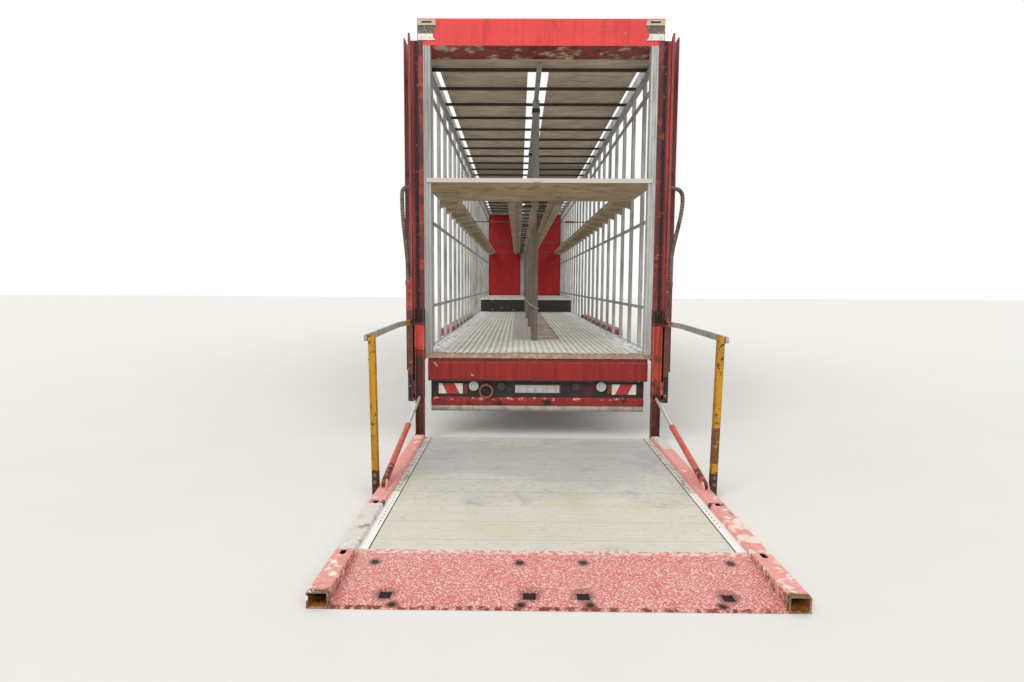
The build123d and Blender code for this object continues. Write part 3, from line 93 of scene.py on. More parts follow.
def linear(text: str) -> tuple[float, ...]:
    """Turns an sRGB hex colour to linear RGBA.

    Args:
        text: A colour such as "#A3262A".

    Returns:
        Four numbers that shader sockets take.
    """
    parts = [int(text[i:i + 2], 16) / 255 for i in (1, 3, 5)]
    return (*(c / 12.92 if c <= 0.04045 else ((c + 0.055) / 1.055) ** 2.4 for c in parts), 1.0)


def put(tree: Tree, kind: str, wires: dict | tuple = (), **settings: object) -> Node:
    """Adds a node with its settings, values and links.

    Args:
        tree: The tree that gets the node.
        kind: The node's type after "ShaderNode", such as "TexNoise".
        wires: Value, source socket or source node of each input, in their order, or by name or number. A node
            stands for its first enabled output, and a hex colour for its linear RGBA.
        settings: Attributes of the node.

    Returns:
        The new node.
    """
    node = tree.nodes.new("ShaderNode" + kind)
    for key, value in settings.items():
        setattr(node, key, value)
    for name, value in wires.items() if isinstance(wires, dict) else enumerate(wires):
        if isinstance(value, bpy.types.Node):
            value = next(s for s in value.outputs if s.enabled)
        if isinstance(value, bpy.types.NodeSocket):
            tree.links.new(value, node.inputs[name])
        else:
            node.inputs[name].default_value = linear(value) if isinstance(value, str) else value
    return node


def place(tree: Tree, stretch: Point = (1, 1, 1), offset: float = 0.0, turn: Point = (0, 0, 0)) -> Node:
    """Object coordinates, stretched, turned and moved.

    Args:
        tree: The material's tree.
        stretch: Scale along each axis.
        offset: Distance in metres that sets one pattern apart from another.
        turn: Rotation in degrees.

    Returns:
        A node that gives a vector.
    """
    coords = put(tree, "TexCoord").outputs["Object"]
    return put(tree, "Mapping", (coords, (offset,) * 3, tuple(math.radians(a) for a in turn), stretch))


def patches(
    tree: Tree, size_mm: float, cover: float, soft: float = 0.05, stretch: Point = (1, 1, 1),
    offset: float = 0.0,
) -> Node:
    """A mask of irregular patches.

    Args:
        tree: The material's tree.
        size_mm: Width of a typical patch.
        cover: Share of the surface that the patches take, from 0 to 1.
        soft: Softness of their edges, in noise units.
        stretch: Scale along each axis; a low Z gives streaks that run down.
        offset: Sets one pattern apart from another.

    Returns:
        A node that gives 0 to 1.
    """
    where = place(tree, stretch, offset)
    wires = {"Vector": where, "Scale": 1000 / size_mm, "Detail": 6.0, "Roughness": 0.62}
    noise = put(tree, "TexNoise", wires)
    cut = 0.5 + (0.5 - cover) * 0.42
    return put(tree, "MapRange", (noise, cut - soft, cut + soft))


def overlap(tree: Tree, *masks: Input) -> Input:
    """A mask that is 1 where all the given masks are.

    Args:
        tree: The material's tree.
        masks: Masks, or plain shares that weaken the result.

    Returns:
        Their product.
    """
    result = masks[0]
    for mask in masks[1:]:
        result = put(tree, "Math", (result, mask), operation="MULTIPLY")
    return result


def coats(tree: Tree, base: Input | str, *layers: Coat) -> Input | str:
    """Lays coats over a base colour.

    Args:
        tree: The material's tree.
        base: The lowest colour.
        layers: Mask, colour and strength of each coat, from the lowest to the top one.

    Returns:
        The colour seen.
    """
    for mask, colour, strength in layers:
        base = put(tree, "Mix", {0: overlap(tree, mask, strength), 6: base, 7: colour}, data_type="RGBA")
    return base


def edge_mask(tree: Tree, radius_mm: float) -> Node:
    """A mask of the sharp edges, from how a rounded normal departs from the flat one.

    Args:
        tree: The material's tree.
        radius_mm: Width of the worn band.

    Returns:
        A node that gives 0 on flat faces and 1 on edges.
    """
    rounded = put(tree, "Bevel", {"Radius": radius_mm * MM}, samples=4)
    flat = put(tree, "NewGeometry").outputs["Normal"]
    dot = put(tree, "VectorMath", (rounded, flat), operation="DOT_PRODUCT").outputs["Value"]
    away = put(tree, "Math", (1.0, dot), operation="SUBTRACT")
    return put(tree, "Math", (away, 3.0), operation="MULTIPLY", use_clamp=True)


def facing(tree: Tree, axis: Axis3, start: float, full: float) -> Node:
    """A mask of the faces that look along an axis.

    Args:
        tree: The material's tree.
        axis: The axis.
        start: Share of the normal along it where the mask starts.
        full: Share where the mask is 1.

    Returns:
        A node that gives 0 to 1.
    """
    normal = put(tree, "SeparateXYZ", (put(tree, "TexCoord").outputs["Normal"],))
    return put(tree, "MapRange", (normal.outputs[axis.name], start, full))


def lozenges(tree: Tree, pitch_mm: float, length: float = 0.42, width: float = 0.14) -> Node:
    """Raised lozenges of flat-lying tread plate, each turned across its neighbours.

    Args:
        tree: The material's tree.
        pitch_mm: Distance between lozenges.
        length: Half length, as a share of the pitch.
        width: Half width, as a share of the pitch.

    Returns:
        A node that gives 0 between lozenges and 1 on their backs.
    """
    cells = put(tree, "SeparateXYZ", (place(tree, (1000 / pitch_mm,) * 3, turn=(0, 0, 45)),))
    steps, offsets = [], []
    for name in ("X", "Y"):
        steps.append(put(tree, "Math", (cells.outputs[name],), operation="FLOOR"))
        whole = put(tree, "Math", (cells.outputs[name],), operation="FRACT")
        offsets.append(put(tree, "Math", (whole, 0.5), operation="SUBTRACT"))
    cell = put(tree, "Math", tuple(steps), operation="ADD")
    odd = put(tree, "Math", (put(tree, "Math", (cell, 2.0), operation="MODULO"),), operation="ABSOLUTE")
    squares = []
    for pair, reach in ((offsets, length), (offsets[::-1], width)):
        value = put(tree, "Mix", {0: odd, 2: pair[0], 3: pair[1]}, data_type="FLOAT")
        share = put(tree, "Math", (value, reach), operation="DIVIDE")
        squares.append(overlap(tree, share, share))
    total = put(tree, "Math", tuple(squares), operation="ADD")
    return put(tree, "MapRange", (total, 1.1, 0.55))


def bands(tree: Tree, axis: Axis3, pitch_mm: float, share: float, soft: float = 0.05) -> Node:
    """Parallel bands across one axis.

    Args:
        tree: The material's tree.
        axis: The axis that the bands repeat along.
        pitch_mm: Distance from band to band.
        share: Share of the pitch that a band takes.
        soft: Softness of its edges, as a share of the pitch.

    Returns:
        A node that gives 1 on the bands and 0 between them.
    """
    parts = put(tree, "SeparateXYZ", (place(tree),))
    turns = overlap(tree, parts.outputs[axis.name], 1000 / pitch_mm)
    middle = put(tree, "Math", (put(tree, "Math", (turns,), operation="FRACT"), 0.5), operation="SUBTRACT")
    away = put(tree, "Math", (middle,), operation="ABSOLUTE")
    return put(tree, "MapRange", (away, share / 2 + soft, share / 2 - soft))


def relief(tree: Tree, height: Input, depth_mm: float, **below: Node) -> Node:
    """A bumped normal from a height of 0 to 1.

    Args:
        tree: The material's tree.
        height: The pattern.
        depth_mm: How far 1 stands over 0.
        below: The Normal that this relief adds to, if there is one.

    Returns:
        A node that gives the normal.
    """
    return put(tree, "Bump", {"Height": height, "Distance": depth_mm * MM, "Strength": 1.0, **below})


def surface(tree: Tree, colour: Input | str, roughness: Input, **values: Input) -> None:
    """Ends a material in one principled shader.

    Args:
        tree: The material's tree.
        colour: Base colour.
        roughness: Roughness.
        values: Normal and constants for other sockets, with underscores for spaces.
    """
    others = {key.replace("_", " "): value for key, value in values.items()}
    shader = put(tree, "BsdfPrincipled", {"Base Color": colour, "Roughness": roughness, **others})
    put(tree, "OutputMaterial", (shader,))


@dataclass(frozen=True)
class Zone:
    """A stretch of a piece with its own colour: other paint, bare metal, rust or dirt, and in some zones
    painted shade, painted highlight or a painted reflection.

    Spans are in metres of the shared frame; across is the distance from the middle plane.
    """

    colour: str
    x: Span | None = None
    across: Span | None = None
    y: Span | None = None
    z: Span | None = None
    faces: tuple[Axis3, int] | None = None
    cover: float = 1.0
    grain_mm: float = 60.0
    strength: float = 1.0
    ragged_mm: float = 6.0

    def coat(self, tree: Tree) -> Coat:
        """The zone as a coat, with a ragged outline.

        Args:
            tree: The material's tree.

        Returns:
            Mask, colour and strength.
        """
        x, y, z = put(tree, "SeparateXYZ", (place(tree),)).outputs
        folded = put(tree, "Math", (x,), operation="ABSOLUTE")
        where = place(tree, offset=4.1)
        wires = {"Vector": where, "Scale": 250 / self.ragged_mm, "Detail": 5.0, "Roughness": 0.6}
        reach = self.ragged_mm * MM
        shift = put(tree, "MapRange", (put(tree, "TexNoise", wires), 0.3, 0.7, -reach, reach))
        soft = 0.2 * reach
        masks = []
        for span, source in ((self.x, x), (self.across, folded), (self.y, y), (self.z, z)):
            if span:
                moved = put(tree, "Math", (source, shift), operation="ADD")
                masks += [
                    put(tree, "MapRange", (moved, span[0] - soft, span[0] + soft)),
                    put(tree, "MapRange", (moved, span[1] + soft, span[1] - soft)),
                ]
        if self.faces:
            axis, way = self.faces
            masks.append(facing(tree, axis, 0.55 * way, 0.75 * way))
        if self.cover < 1.0:
            masks.append(patches(tree, self.grain_mm, self.cover, 0.04, offset=8.8))
        return (overlap(tree, *masks), self.colour, self.strength)


@dataclass(frozen=True)
class Spot:
    """A round dark mark on the upper face of a lying piece, such as the dark ring round a plug and the
    painted shade in and round an opening.
    """

    colour: str
    at: Span
    radius: float
    strength: float = 0.85

    def coat(self, tree: Tree) -> Coat:
        """The mark as a coat, faded over most of its radius.

        Args:
            tree: The material's tree.

        Returns:
            Mask, colour and strength.
        """
        away = put(tree, "VectorMath", (place(tree, (1, 1, 0)), (*self.at, 0.0)), operation="DISTANCE")
        mask = put(tree, "MapRange", (away.outputs["Value"], self.radius, 0.3 * self.radius))
        return (overlap(tree, mask, facing(tree, Axis3.Z, 0.5, 0.7)), self.colour, self.strength)


@dataclass(frozen=True)
class Finish:
    """What a surface is made of, how it was made and how it has worn."""

    name: str

    @cache
    def build(self) -> bpy.types.Material:
        """The material, built once for each finish.

        Returns:
            The material with its tree filled in.
        """
        material = bpy.data.materials.new(self.name)
        material.use_nodes = True
        material.node_tree.nodes.clear()
        self.shade(material.node_tree)
        return material

    def shade(self, tree: Tree) -> None:
        """Fills in the tree; each kind of finish has its own way."""
        raise NotImplementedError


@dataclass(frozen=True)
class WornEnamel(Finish):
    """Sprayed enamel over primer on steel, chipped to the primer and rusting where the primer has gone.

    The eye reads faded broad areas, dark streaks that run down, pale chips with hard edges and brown rust
    along edges and inside the largest chips.
    """

    colour: str
    faded: str
    primer: str = "#B9A58E"
    rust: str = "#5B3322"
    grime: str = "#2A211C"
    chips: float = 0.12
    rusting: float = 0.10
    streaks: float = 0.25
    edge_mm: float = 7.0
    chip_mm: float = 90.0
    gloss: float = 0.5
    zones: tuple[Zone, ...] = ()

    def shade(self, tree: Tree) -> None:
        """Paint, its zones, streaks, chips and rust.

        Args:
            tree: The material's tree.
        """
        fine = patches(tree, 35, 0.45, 0.25, offset=5.1)
        run = patches(tree, 45, self.streaks, 0.12, (1, 1, 0.07), 2.7)
        worn = overlap(tree, edge_mask(tree, self.edge_mm), patches(tree, 28, 0.55, 0.1, offset=3.9))
        loose = patches(tree, self.chip_mm, self.chips, 0.012, offset=7.7)
        chip = put(tree, "Math", (loose, worn), operation="MAXIMUM")
        eaten = patches(tree, self.chip_mm * 1.2, self.rusting, 0.03, offset=7.75)
        edge_rust = overlap(tree, worn, patches(tree, 130, 0.5, 0.1, offset=9.2))
        deep = put(tree, "Math", (eaten, edge_rust), operation="MAXIMUM")
        tone = coats(tree, self.rust, (patches(tree, 18, 0.5, 0.2, offset=4.4), "#8A5434", 1.0))
        colour = coats(
            tree, self.colour,
            (patches(tree, 620, 0.5, 0.2, offset=1.3), self.faded, 1.0),
            (fine, self.grime, 0.22),
            *(zone.coat(tree) for zone in self.zones),
            (run, self.grime, 0.5),
            (chip, self.primer, 1.0),
            (deep, tone, 1.0),
        )
        rough = put(tree, "MapRange", (deep, 0.0, 1.0, self.gloss, 0.88))
        film = relief(tree, put(tree, "Math", (1.0, chip), operation="SUBTRACT"), 0.8)
        normal = relief(tree, overlap(tree, deep, fine), 1.0, Normal=film)
        surface(tree, colour, rough, Normal=normal, Specular_IOR_Level=0.35)


@dataclass(frozen=True)
class BareAluminium(Finish):
    """Mill-finish aluminium, oxidised dull, with dust streaks and drawn lines along the extrusion.

    Such lines are finer than a millimetre; here they are as coarse as they need to be to show.
    """

    colour: str = "#B9BAB6"
    dull: str = "#96958E"
    dirt: float = 0.3
    grain: Point = (1, 1, 0.05)
    zones: tuple[Zone, ...] = ()

    def shade(self, tree: Tree) -> None:
        """Metal, drawn lines, dust streaks, specks and zones.

        Args:
            tree: The material's tree.
        """
        line = patches(tree, 14, 0.5, 0.2, self.grain, 0.6)
        run = patches(tree, 70, self.dirt, 0.12, (1, 1, 0.1), 3.3)
        colour = coats(
            tree, self.colour,
            (patches(tree, 300, 0.5, 0.2), self.dull, 1.0),
            (line, "#5A5248", 0.2),
            (run, "#5A5248", 0.6),
            (patches(tree, 22, self.dirt * 0.5, 0.06, offset=8.3), "#3A332B", 0.5),
            *(zone.coat(tree) for zone in self.zones),
        )
        rough = put(tree, "MapRange", (run, 0.0, 1.0, 0.5, 0.8))
        surface(tree, colour, rough, Normal=relief(tree, line, 0.15), Metallic=0.4)


@dataclass(frozen=True)
class DirtyBoard(Finish):
    """Coated deck board, brown-grey with age, with tide marks, long scrapes and pale wear along edges."""

    colour: str
    dark: str
    joint_mm: float = 0.0
    zones: tuple[Zone, ...] = ()

    def shade(self, tree: Tree) -> None:
        """Board, scrapes, specks, zones and the joints between sheets.

        Args:
            tree: The material's tree.
        """
        height: Input = patches(tree, 60, 0.5, 0.3, offset=1.1)
        layers = [
            (patches(tree, 420, 0.5, 0.15), self.dark, 0.8),
            (patches(tree, 60, 0.4, 0.12, (0.25, 1, 1), 2.2), "#5A4C3E", 0.45),
            (patches(tree, 24, 0.25, 0.05, offset=6.1), "#A99A80", 0.5),
            *(zone.coat(tree) for zone in self.zones),
        ]
        if self.joint_mm:
            joint = bands(tree, Axis3.Y, self.joint_mm, 0.012, 0.004)
            layers.append((joint, "#2A2520", 1.0))
            height = put(tree, "Math", (height, joint), operation="SUBTRACT")
        layers.append((edge_mask(tree, 6.0), "#D2CABD", 0.8))
        surface(tree, coats(tree, self.colour, *layers), 0.75, Normal=relief(tree, height, 0.8))


@dataclass(frozen=True)
class TreadPlate(Finish):
    """Rolled floor plate whose raised lozenges are rubbed bare while old paint stays in the ground."""

    ground: str
    worn: str
    raised: str
    pitch_mm: float
    zones: tuple[Zone | Spot, ...] = ()

    def shade(self, tree: Tree) -> None:
        """Old paint, flakes, rubbed lozenges and zones.

        Args:
            tree: The material's tree.
        """
        height = lozenges(tree, self.pitch_mm)
        rubbed = overlap(tree, height, patches(tree, 180, 0.75, 0.15, offset=4.2))
        colour = coats(
            tree, self.ground,
            (patches(tree, 380, 0.5, 0.15), self.worn, 0.8),
            (patches(tree, 26, 0.22, 0.06, offset=3.4), "#8E4A42", 0.5),
            (rubbed, self.raised, 0.7),
            (patches(tree, 11, 0.4, 0.05, offset=2.4), "#F0DDD4", 0.7),
            (patches(tree, 13, 0.25, 0.05, offset=5.5), "#A84E48", 0.5),
            *(zone.coat(tree) for zone in self.zones),
        )
        rough = put(tree, "MapRange", (rubbed, 0.0, 1.0, 0.8, 0.45))
        surface(tree, colour, rough, Normal=relief(tree, height, 1.2), Metallic=0.1)


@dataclass(frozen=True)
class PlankFloor(Finish):
    """Extruded aluminium planks with fine ridges, trodden pale on top and dark between."""

    colour: str
    tread: str
    groove: str
    ridge_axis: Axis3
    ridge_mm: float
    share: float = 0.5
    groove_strength: float = 0.5
    plank_mm: float = 0.0
    cross_mm: float = 0.0
    zones: tuple[Zone, ...] = ()

    def shade(self, tree: Tree) -> None:
        """Ridges, grooves, specks, joints between planks, cross ribs and zones.

        Args:
            tree: The material's tree.
        """
        ridge = bands(tree, self.ridge_axis, self.ridge_mm, self.share, 0.12)
        low = put(tree, "Math", (1.0, ridge), operation="SUBTRACT")
        layers = [
            (patches(tree, 350, 0.5, 0.15), self.tread, 1.0),
            (low, self.groove, self.groove_strength),
            (patches(tree, 55, 0.25, 0.08, offset=6.6), "#7A766C", 0.35),
            (patches(tree, 12, 0.3, 0.08, offset=7.9), "#F0EEE6", 0.35),
        ]
        if self.plank_mm:
            layers.append((bands(tree, self.ridge_axis, self.plank_mm, 0.02, 0.008), "#6E6C64", 0.7))
        if self.cross_mm:
            cross = overlap(tree, bands(tree, Axis3.Y, self.cross_mm, 0.3, 0.1), patches(tree, 500, 0.6, 0.1))
            layers.append((cross, self.groove, 0.3))
        layers += [zone.coat(tree) for zone in self.zones]
        surface(tree, coats(tree, self.colour, *layers), 0.6, Normal=relief(tree, ridge, 1.2), Metallic=0.12)


@dataclass(frozen=True)
class MouldedRubber(Finish):
    """Carbon-filled rubber, matt black and greyed by road dust.

    Such a grain is about a millimetre wide; here it is 6 mm, so that it shows.
    """

    def shade(self, tree: Tree) -> None:
        """Black rubber, dust and a fine grain.

        Args:
            tree: The material's tree.
        """
        colour = coats(tree, "#1B1B1B", (patches(tree, 90, 0.45, 0.2), "#57524B", 0.6))
        surface(tree, colour, 0.78, Normal=relief(tree, patches(tree, 6, 0.5, 0.3, offset=2.0), 0.3))


@dataclass(frozen=True)
class Sleeve(Finish):
    """Woven abrasion sleeve over a hose, bleached brown-grey in patches.

    Such a weave is a few millimetres wide; here it is 9 mm, so that it shows from the photograph's distance.
    """

    def shade(self, tree: Tree) -> None:
        """Weave, bleached patches and dark rings.

        Args:
            tree: The material's tree.
        """
        weave = overlap(tree, bands(tree, Axis3.Z, 9, 0.5, 0.2), bands(tree, Axis3.X, 9, 0.5, 0.2))
        colour = coats(
            tree, "#3E3630", (patches(tree, 80, 0.5, 0.15), "#7C6E5C", 1.0),
            (bands(tree, Axis3.Z, 28, 0.3, 0.1), "#241F1C", 0.6),
        )
        surface(tree, colour, 0.8, Normal=relief(tree, weave, 0.8))


@dataclass(frozen=True)
class Chrome(Finish):
    """Hard-chromed rod, bright with a few fine rings of dust, and a dark oily eye at its end."""

    eye: Zone

    def shade(self, tree: Tree) -> None:
        """Chrome, dust and the eye.

        Args:
            tree: The material's tree.
        """
        dust = patches(tree, 30, 0.3, 0.1)
        colour = coats(tree, "#E4E6E8", (dust, "#B0AEA8", 0.3), self.eye.coat(tree))
        surface(tree, colour, put(tree, "MapRange", (dust, 0.0, 1.0, 0.3, 0.5)), Metallic=0.6)


@dataclass(frozen=True)
class WarningBoard(Finish):
    """Reflective rear boards with one slanting red band each, and the blank pale plate between them.

    The plate is left without any marks; the eye reads a pale field in a dark frame.
    """

    middle: Span = (0.855, 0.501)
    slope: float = 0.5
    half_band: float = 0.062

    def shade(self, tree: Tree) -> None:
        """Bands, the plate with its frame, dirt and edges.

        Args:
            tree: The material's tree.
        """
        x, _, z = put(tree, "SeparateXYZ", (place(tree),)).outputs
        across = put(tree, "Math", (x,), operation="ABSOLUTE")
        slant = put(tree, "Math", (across, overlap(tree, z, -self.slope)), operation="ADD")
        start = self.middle[0] - self.slope * self.middle[1]
        off = put(tree, "Math", (slant, start), operation="SUBTRACT")
        away = put(tree, "Math", (off,), operation="ABSOLUTE")
        band = put(tree, "MapRange", (away, self.half_band + MM, self.half_band - MM))
        colour = coats(
            tree, "#D2CCC0", (band, "#A81A20", 1.0),
            Zone("#26242A", across=(0.0, 0.3), ragged_mm=0.5).coat(tree),
            Zone("#A9A8A4", across=(-0.1, 0.218), z=(0.464, 0.538), ragged_mm=0.5).coat(tree),
            (patches(tree, 40, 0.35, 0.12, (1, 1, 0.4)), "#5E4C44", 0.45),
            (edge_mask(tree, 3.0), "#4A3A34", 0.6),
        )
        surface(tree, colour, 0.4)


@dataclass(frozen=True)
class Lens(Finish):
    """Moulded lamp lens: clear ones in the outer lamps, smoked inner ones and dark red side blocks."""

    def shade(self, tree: Tree) -> None:
        """Clear, smoked and red lenses by their place, dust and the ribs inside.

        Args:
            tree: The material's tree.
        """
        colour = coats(
            tree, "#A9ADA2",
            Zone("#262220", across=(0.0, 0.5), ragged_mm=0.5).coat(tree),
            Zone("#6E1216", across=(0.681, 0.9), ragged_mm=0.5).coat(tree),
            (patches(tree, 30, 0.4, 0.15), "#5A5046", 0.35),
            (edge_mask(tree, 5.0), "#33302C", 0.8),
        )
        surface(tree, colour, 0.25, Normal=relief(tree, bands(tree, Axis3.X, 11, 0.5, 0.2), 0.6))


@dataclass(frozen=True)
class FloorPaint(Finish):
    """Matt pale floor of the studio, with broad soft changes of tone."""

    def shade(self, tree: Tree) -> None:
        """Paint and its broad tones.

        Args:
            tree: The material's tree.
        """
        surface(tree, coats(tree, "#DEDCD7", (patches(tree, 900, 0.5, 0.3), "#D2CFC8", 0.3)), 0.9)


DOWN = (Axis3.Z, -1)
UP = (Axis3.Z, 1)
REAR = (Axis3.Y, -1)
LEFT = (-1.3, -1.0)
RIGHT = (1.0, 1.3)

HEADER_RED = WornEnamel(
    "red_enamel_header", "#DE4441", "#D33A38", primer="#D8C7A8", grime="#7A1E1E", chips=0.02, rusting=0.02,
    streaks=0.2, edge_mm=3.0, chip_mm=60, zones=(
        # Darker red on all downward faces: painted shade under the header.
        Zone("#8C2A26", faces=DOWN),
        Zone("#B9AE86", faces=DOWN, cover=0.36, grain_mm=150),
        Zone("#4A2A22", faces=DOWN, cover=0.42, grain_mm=90, strength=0.8),
        Zone("#B0A898", y=(-5.2, -5.0615), ragged_mm=0.5),
        # Dark band: painted shade in the corner bracket's bend.
        Zone("#5C4E42", y=(-5.2, -5.0615), z=(3.846, 3.918), ragged_mm=3.0),
        # Thin pale line: painted highlight along the top of the bend.
        Zone("#D6D0C4", y=(-5.2, -5.0615), z=(3.918, 3.928), ragged_mm=1.0),
        # Paler lower part of the bracket: painted highlight.
        Zone("#D9D4CA", y=(-5.2, -5.0615), z=(3.7, 3.838), ragged_mm=1.0),
        # Near-black strip: painted shade in the bracket's slot.
        Zone("#4A1614", across=(1.012, 1.106), y=(-5.2, -5.0615), z=(3.935, 3.951), ragged_mm=0.5),
    ),
)
SILL_RED = WornEnamel(
    "red_enamel_sill", "#9A1F1B", "#861C1A", grime="#3A100E", chips=0.03, rusting=0.06, streaks=0.4, zones=(
        Zone("#8C6C55", z=(0.808, 0.9), ragged_mm=10),
        Zone("#AC9A80", z=(0.836, 0.9), cover=0.42, grain_mm=70),
        Zone("#5A3020", z=(0.79, 0.838), cover=0.55, grain_mm=50),
        Zone("#2A1210", z=(0.5, 0.602), ragged_mm=4),
    ),
)
COVER_RED = WornEnamel("red_enamel_covers", "#A8322E", "#B84840", chips=0.06, rusting=0.1, streaks=0.3)
GUARD_RED = WornEnamel(
    "red_enamel_guard", "#7E1E1B", "#962724", primer="#D8CDBE", grime="#2A1412", chips=0.05, rusting=0.04,
    streaks=0.15, gloss=0.3, edge_mm=6, chip_mm=60, zones=(
        Zone("#2A1818", z=(0.33, 0.42), cover=0.3, grain_mm=130),
        # Pale pink patches along the top of the bar: painted highlight.
        Zone("#DD8A80", z=(0.385, 0.42), cover=0.3, grain_mm=60),
        Zone("#989085", z=(0.2, 0.337), ragged_mm=1.0),
        Zone("#766C5E", z=(0.2, 0.337), cover=0.4, grain_mm=80, strength=0.6),
    ),
)
CARRIAGE_RED = WornEnamel(
    "red_enamel_carriage", "#7E3A30", "#6A2E28", primer="#B0685A", chips=0.15, rusting=0.25, streaks=0.45,
    zones=(
        Zone("#DE5A50", x=LEFT, z=(0.9, 1.13), ragged_mm=14),
        Zone("#B83E36", x=LEFT, z=(0.76, 0.93), cover=0.5),
        Zone("#CB563E", x=RIGHT, z=(0.6, 1.13), ragged_mm=14),
        Zone("#B84C38", x=RIGHT, z=(0.4, 0.62), cover=0.55),
        Zone("#5C382A", x=LEFT, z=(0.1, 0.83), cover=0.6, grain_mm=90),
        Zone("#4A2E26", x=RIGHT, z=(0.1, 0.6), cover=0.4, grain_mm=90),
        Zone("#2C1C18", z=(1.16, 1.4), ragged_mm=10),
    ),
)
CYLINDER_RED = WornEnamel(
    "red_enamel_cylinder", "#D0685A", "#C05C4A", primer="#8A5C4A", grime="#4A2E24", chips=0.12, rusting=0.12,
    streaks=0.3, zones=(Zone("#5A3226", y=(-6.9, -6.5), cover=0.6),),
)
ARM_RED = WornEnamel(
    "salmon_enamel_arm", "#E0948A", "#E8A89E", primer="#E6DFD2", grime="#8A5A4E", chips=0.16, rusting=0.08,
    streaks=0.15, chip_mm=120, gloss=0.6, zones=(
        Zone("#D3CEC5", x=LEFT, y=(-7.76, -7.06), ragged_mm=40),
        Zone("#907A6C", x=LEFT, y=(-7.66, -7.2), cover=0.36, grain_mm=130),
        Zone("#F0E6DC", y=(-8.2, -7.7), cover=0.3, grain_mm=70),
        Zone("#7E5C44", across=(1.05, 1.0805), y=(-8.3, -7.75), cover=0.6, grain_mm=50),
        Zone("#E6CFC2", x=RIGHT, y=(-7.84, -7.30), cover=0.5, grain_mm=110),
        Zone("#E3CB8A", x=(-1.165, -1.10), y=(-5.36, -5.24), ragged_mm=14),
        Zone("#C9C6BC", x=RIGHT, y=(-5.665, -5.225), z=(0.0853, 0.2), ragged_mm=0.5),
        Zone("#3A2A22", y=(-7.06, -7.0), z=(0.0, 0.0845), ragged_mm=4),
        Zone("#7A5A34", y=(-8.4, -8.205), ragged_mm=22),
        Zone("#4A3018", y=(-8.4, -8.228), ragged_mm=4),
        Zone("#A8742E", faces=REAR, y=(-8.4, -8.2), cover=0.35, grain_mm=40),
        Zone("#9A6428", across=(1.0875, 1.1795), z=(0.0075, 0.0775), ragged_mm=0.3),
        Zone("#3A2412", across=(1.0875, 1.1795), z=(0.0075, 0.0775), cover=0.4, grain_mm=50),
    ),
)
MAROON = WornEnamel(
    "maroon_enamel_fairing", "#BC4650", "#A03A42", primer="#C9A49A", chips=0.03, rusting=0.05, streaks=0.35,
    chip_mm=40, edge_mm=4,
)
PANEL_RED = WornEnamel(
    "red_enamel_front_panels", "#B01016", "#9E0E14", primer="#D8C8B8", grime="#4A0C0E", chips=0.015,
    rusting=0.015, streaks=0.35, edge_mm=3, chip_mm=50,
)
CHASSIS = WornEnamel("chassis_oxide_paint", "#5A2D2A", "#4A2A28", chips=0.08, rusting=0.25, streaks=0.3)
COLUMN = WornEnamel(
    "column_rusted_paint", "#9A3E40", "#86383A", primer="#B0786C", chips=0.12, rusting=0.22, streaks=0.5,
    chip_mm=60, zones=(
        Zone("#6A2628", across=(1.0, 1.142), ragged_mm=2),
        Zone("#A6383A", across=(1.0, 1.142), cover=0.42, grain_mm=130),
        Zone("#1E1716", across=(1.142, 1.176), ragged_mm=3),
        Zone("#C0504C", across=(1.192, 1.208), ragged_mm=2),
        Zone("#6A3E36", across=(1.206, 1.3), z=(0.3, 3.2), cover=0.45, grain_mm=160),
        Zone("#C4483F", x=(-1.3, -1.2), y=(-5.2, -5.1545), z=(1.28, 1.6), ragged_mm=10),
        Zone("#5A342A", across=(1.2, 1.3), z=(0.3, 1.27), ragged_mm=8),
        Zone("#1C1615", across=(1.2, 1.3), z=(0.3, 0.66), ragged_mm=10),
        Zone("#4A2C26", x=(1.2, 1.3), y=(-5.2, -5.1545), z=(1.28, 1.6), cover=0.6, grain_mm=70),
    ),
)
RUST = WornEnamel(
    "rusted_steel", "#6A4A3A", "#5A3E30", primer="#8C5A3C", chips=0.3, rusting=0.45, streaks=0.2,
)
BLACK = WornEnamel(
    "black_enamel", "#1B1A1A", "#282524", primer="#4A4642", chips=0.05, rusting=0.12, streaks=0.3,
    zones=(
        Zone("#5A1A18", cover=0.3, z=(0.42, 0.64), grain_mm=120, strength=0.7),
        Zone("#74503F", x=(-0.59, -0.42), y=(-5.2, -4.995), z=(0.40, 0.57), ragged_mm=0.5),
        Zone("#3E2A24", x=(-0.59, -0.42), y=(-5.2, -4.995), z=(0.40, 0.57), cover=0.3, grain_mm=30),
    ),
)
RISER_BLACK = WornEnamel(
    "black_enamel_riser", "#2E2A26", "#211F1D", primer="#8A8068", chips=0.14, rusting=0.08, streaks=0.5,
    chip_mm=110,
)
YELLOW = WornEnamel(
    "yellow_enamel_post", "#C48E08", "#B8820C", primer="#2A1F12", rust="#4A2C14", grime="#3A2A10", chips=0.2,
    rusting=0.12, streaks=0.35, chip_mm=26, edge_mm=9, zones=(
        Zone("#3A2A14", z=(0.19, 0.7), cover=0.24, grain_mm=24),
        Zone("#6A4420", x=(1.0, 1.5), z=(0.26, 0.52), cover=0.7, grain_mm=50),
        Zone("#C9C2B0", x=(1.0, 1.5), z=(1.05, 1.13), cover=0.3, grain_mm=30),
        Zone("#2A1C14", z=(0.9, 1.2), cover=0.3, grain_mm=30),
        Zone("#3A2820", z=(-0.1, 0.19), ragged_mm=14),
    ),
)
GALVANISED = WornEnamel("galvanised_steel", "#9B9C98", "#84857F", primer="#6A6A66", chips=0.1, rusting=0.12)
WHEEL_SILVER = WornEnamel(
    "silver_enamel_wheel", "#A4A5A5", "#8A8985", primer="#5C5650", chips=0.06, rusting=0.1, streaks=0.2,
)
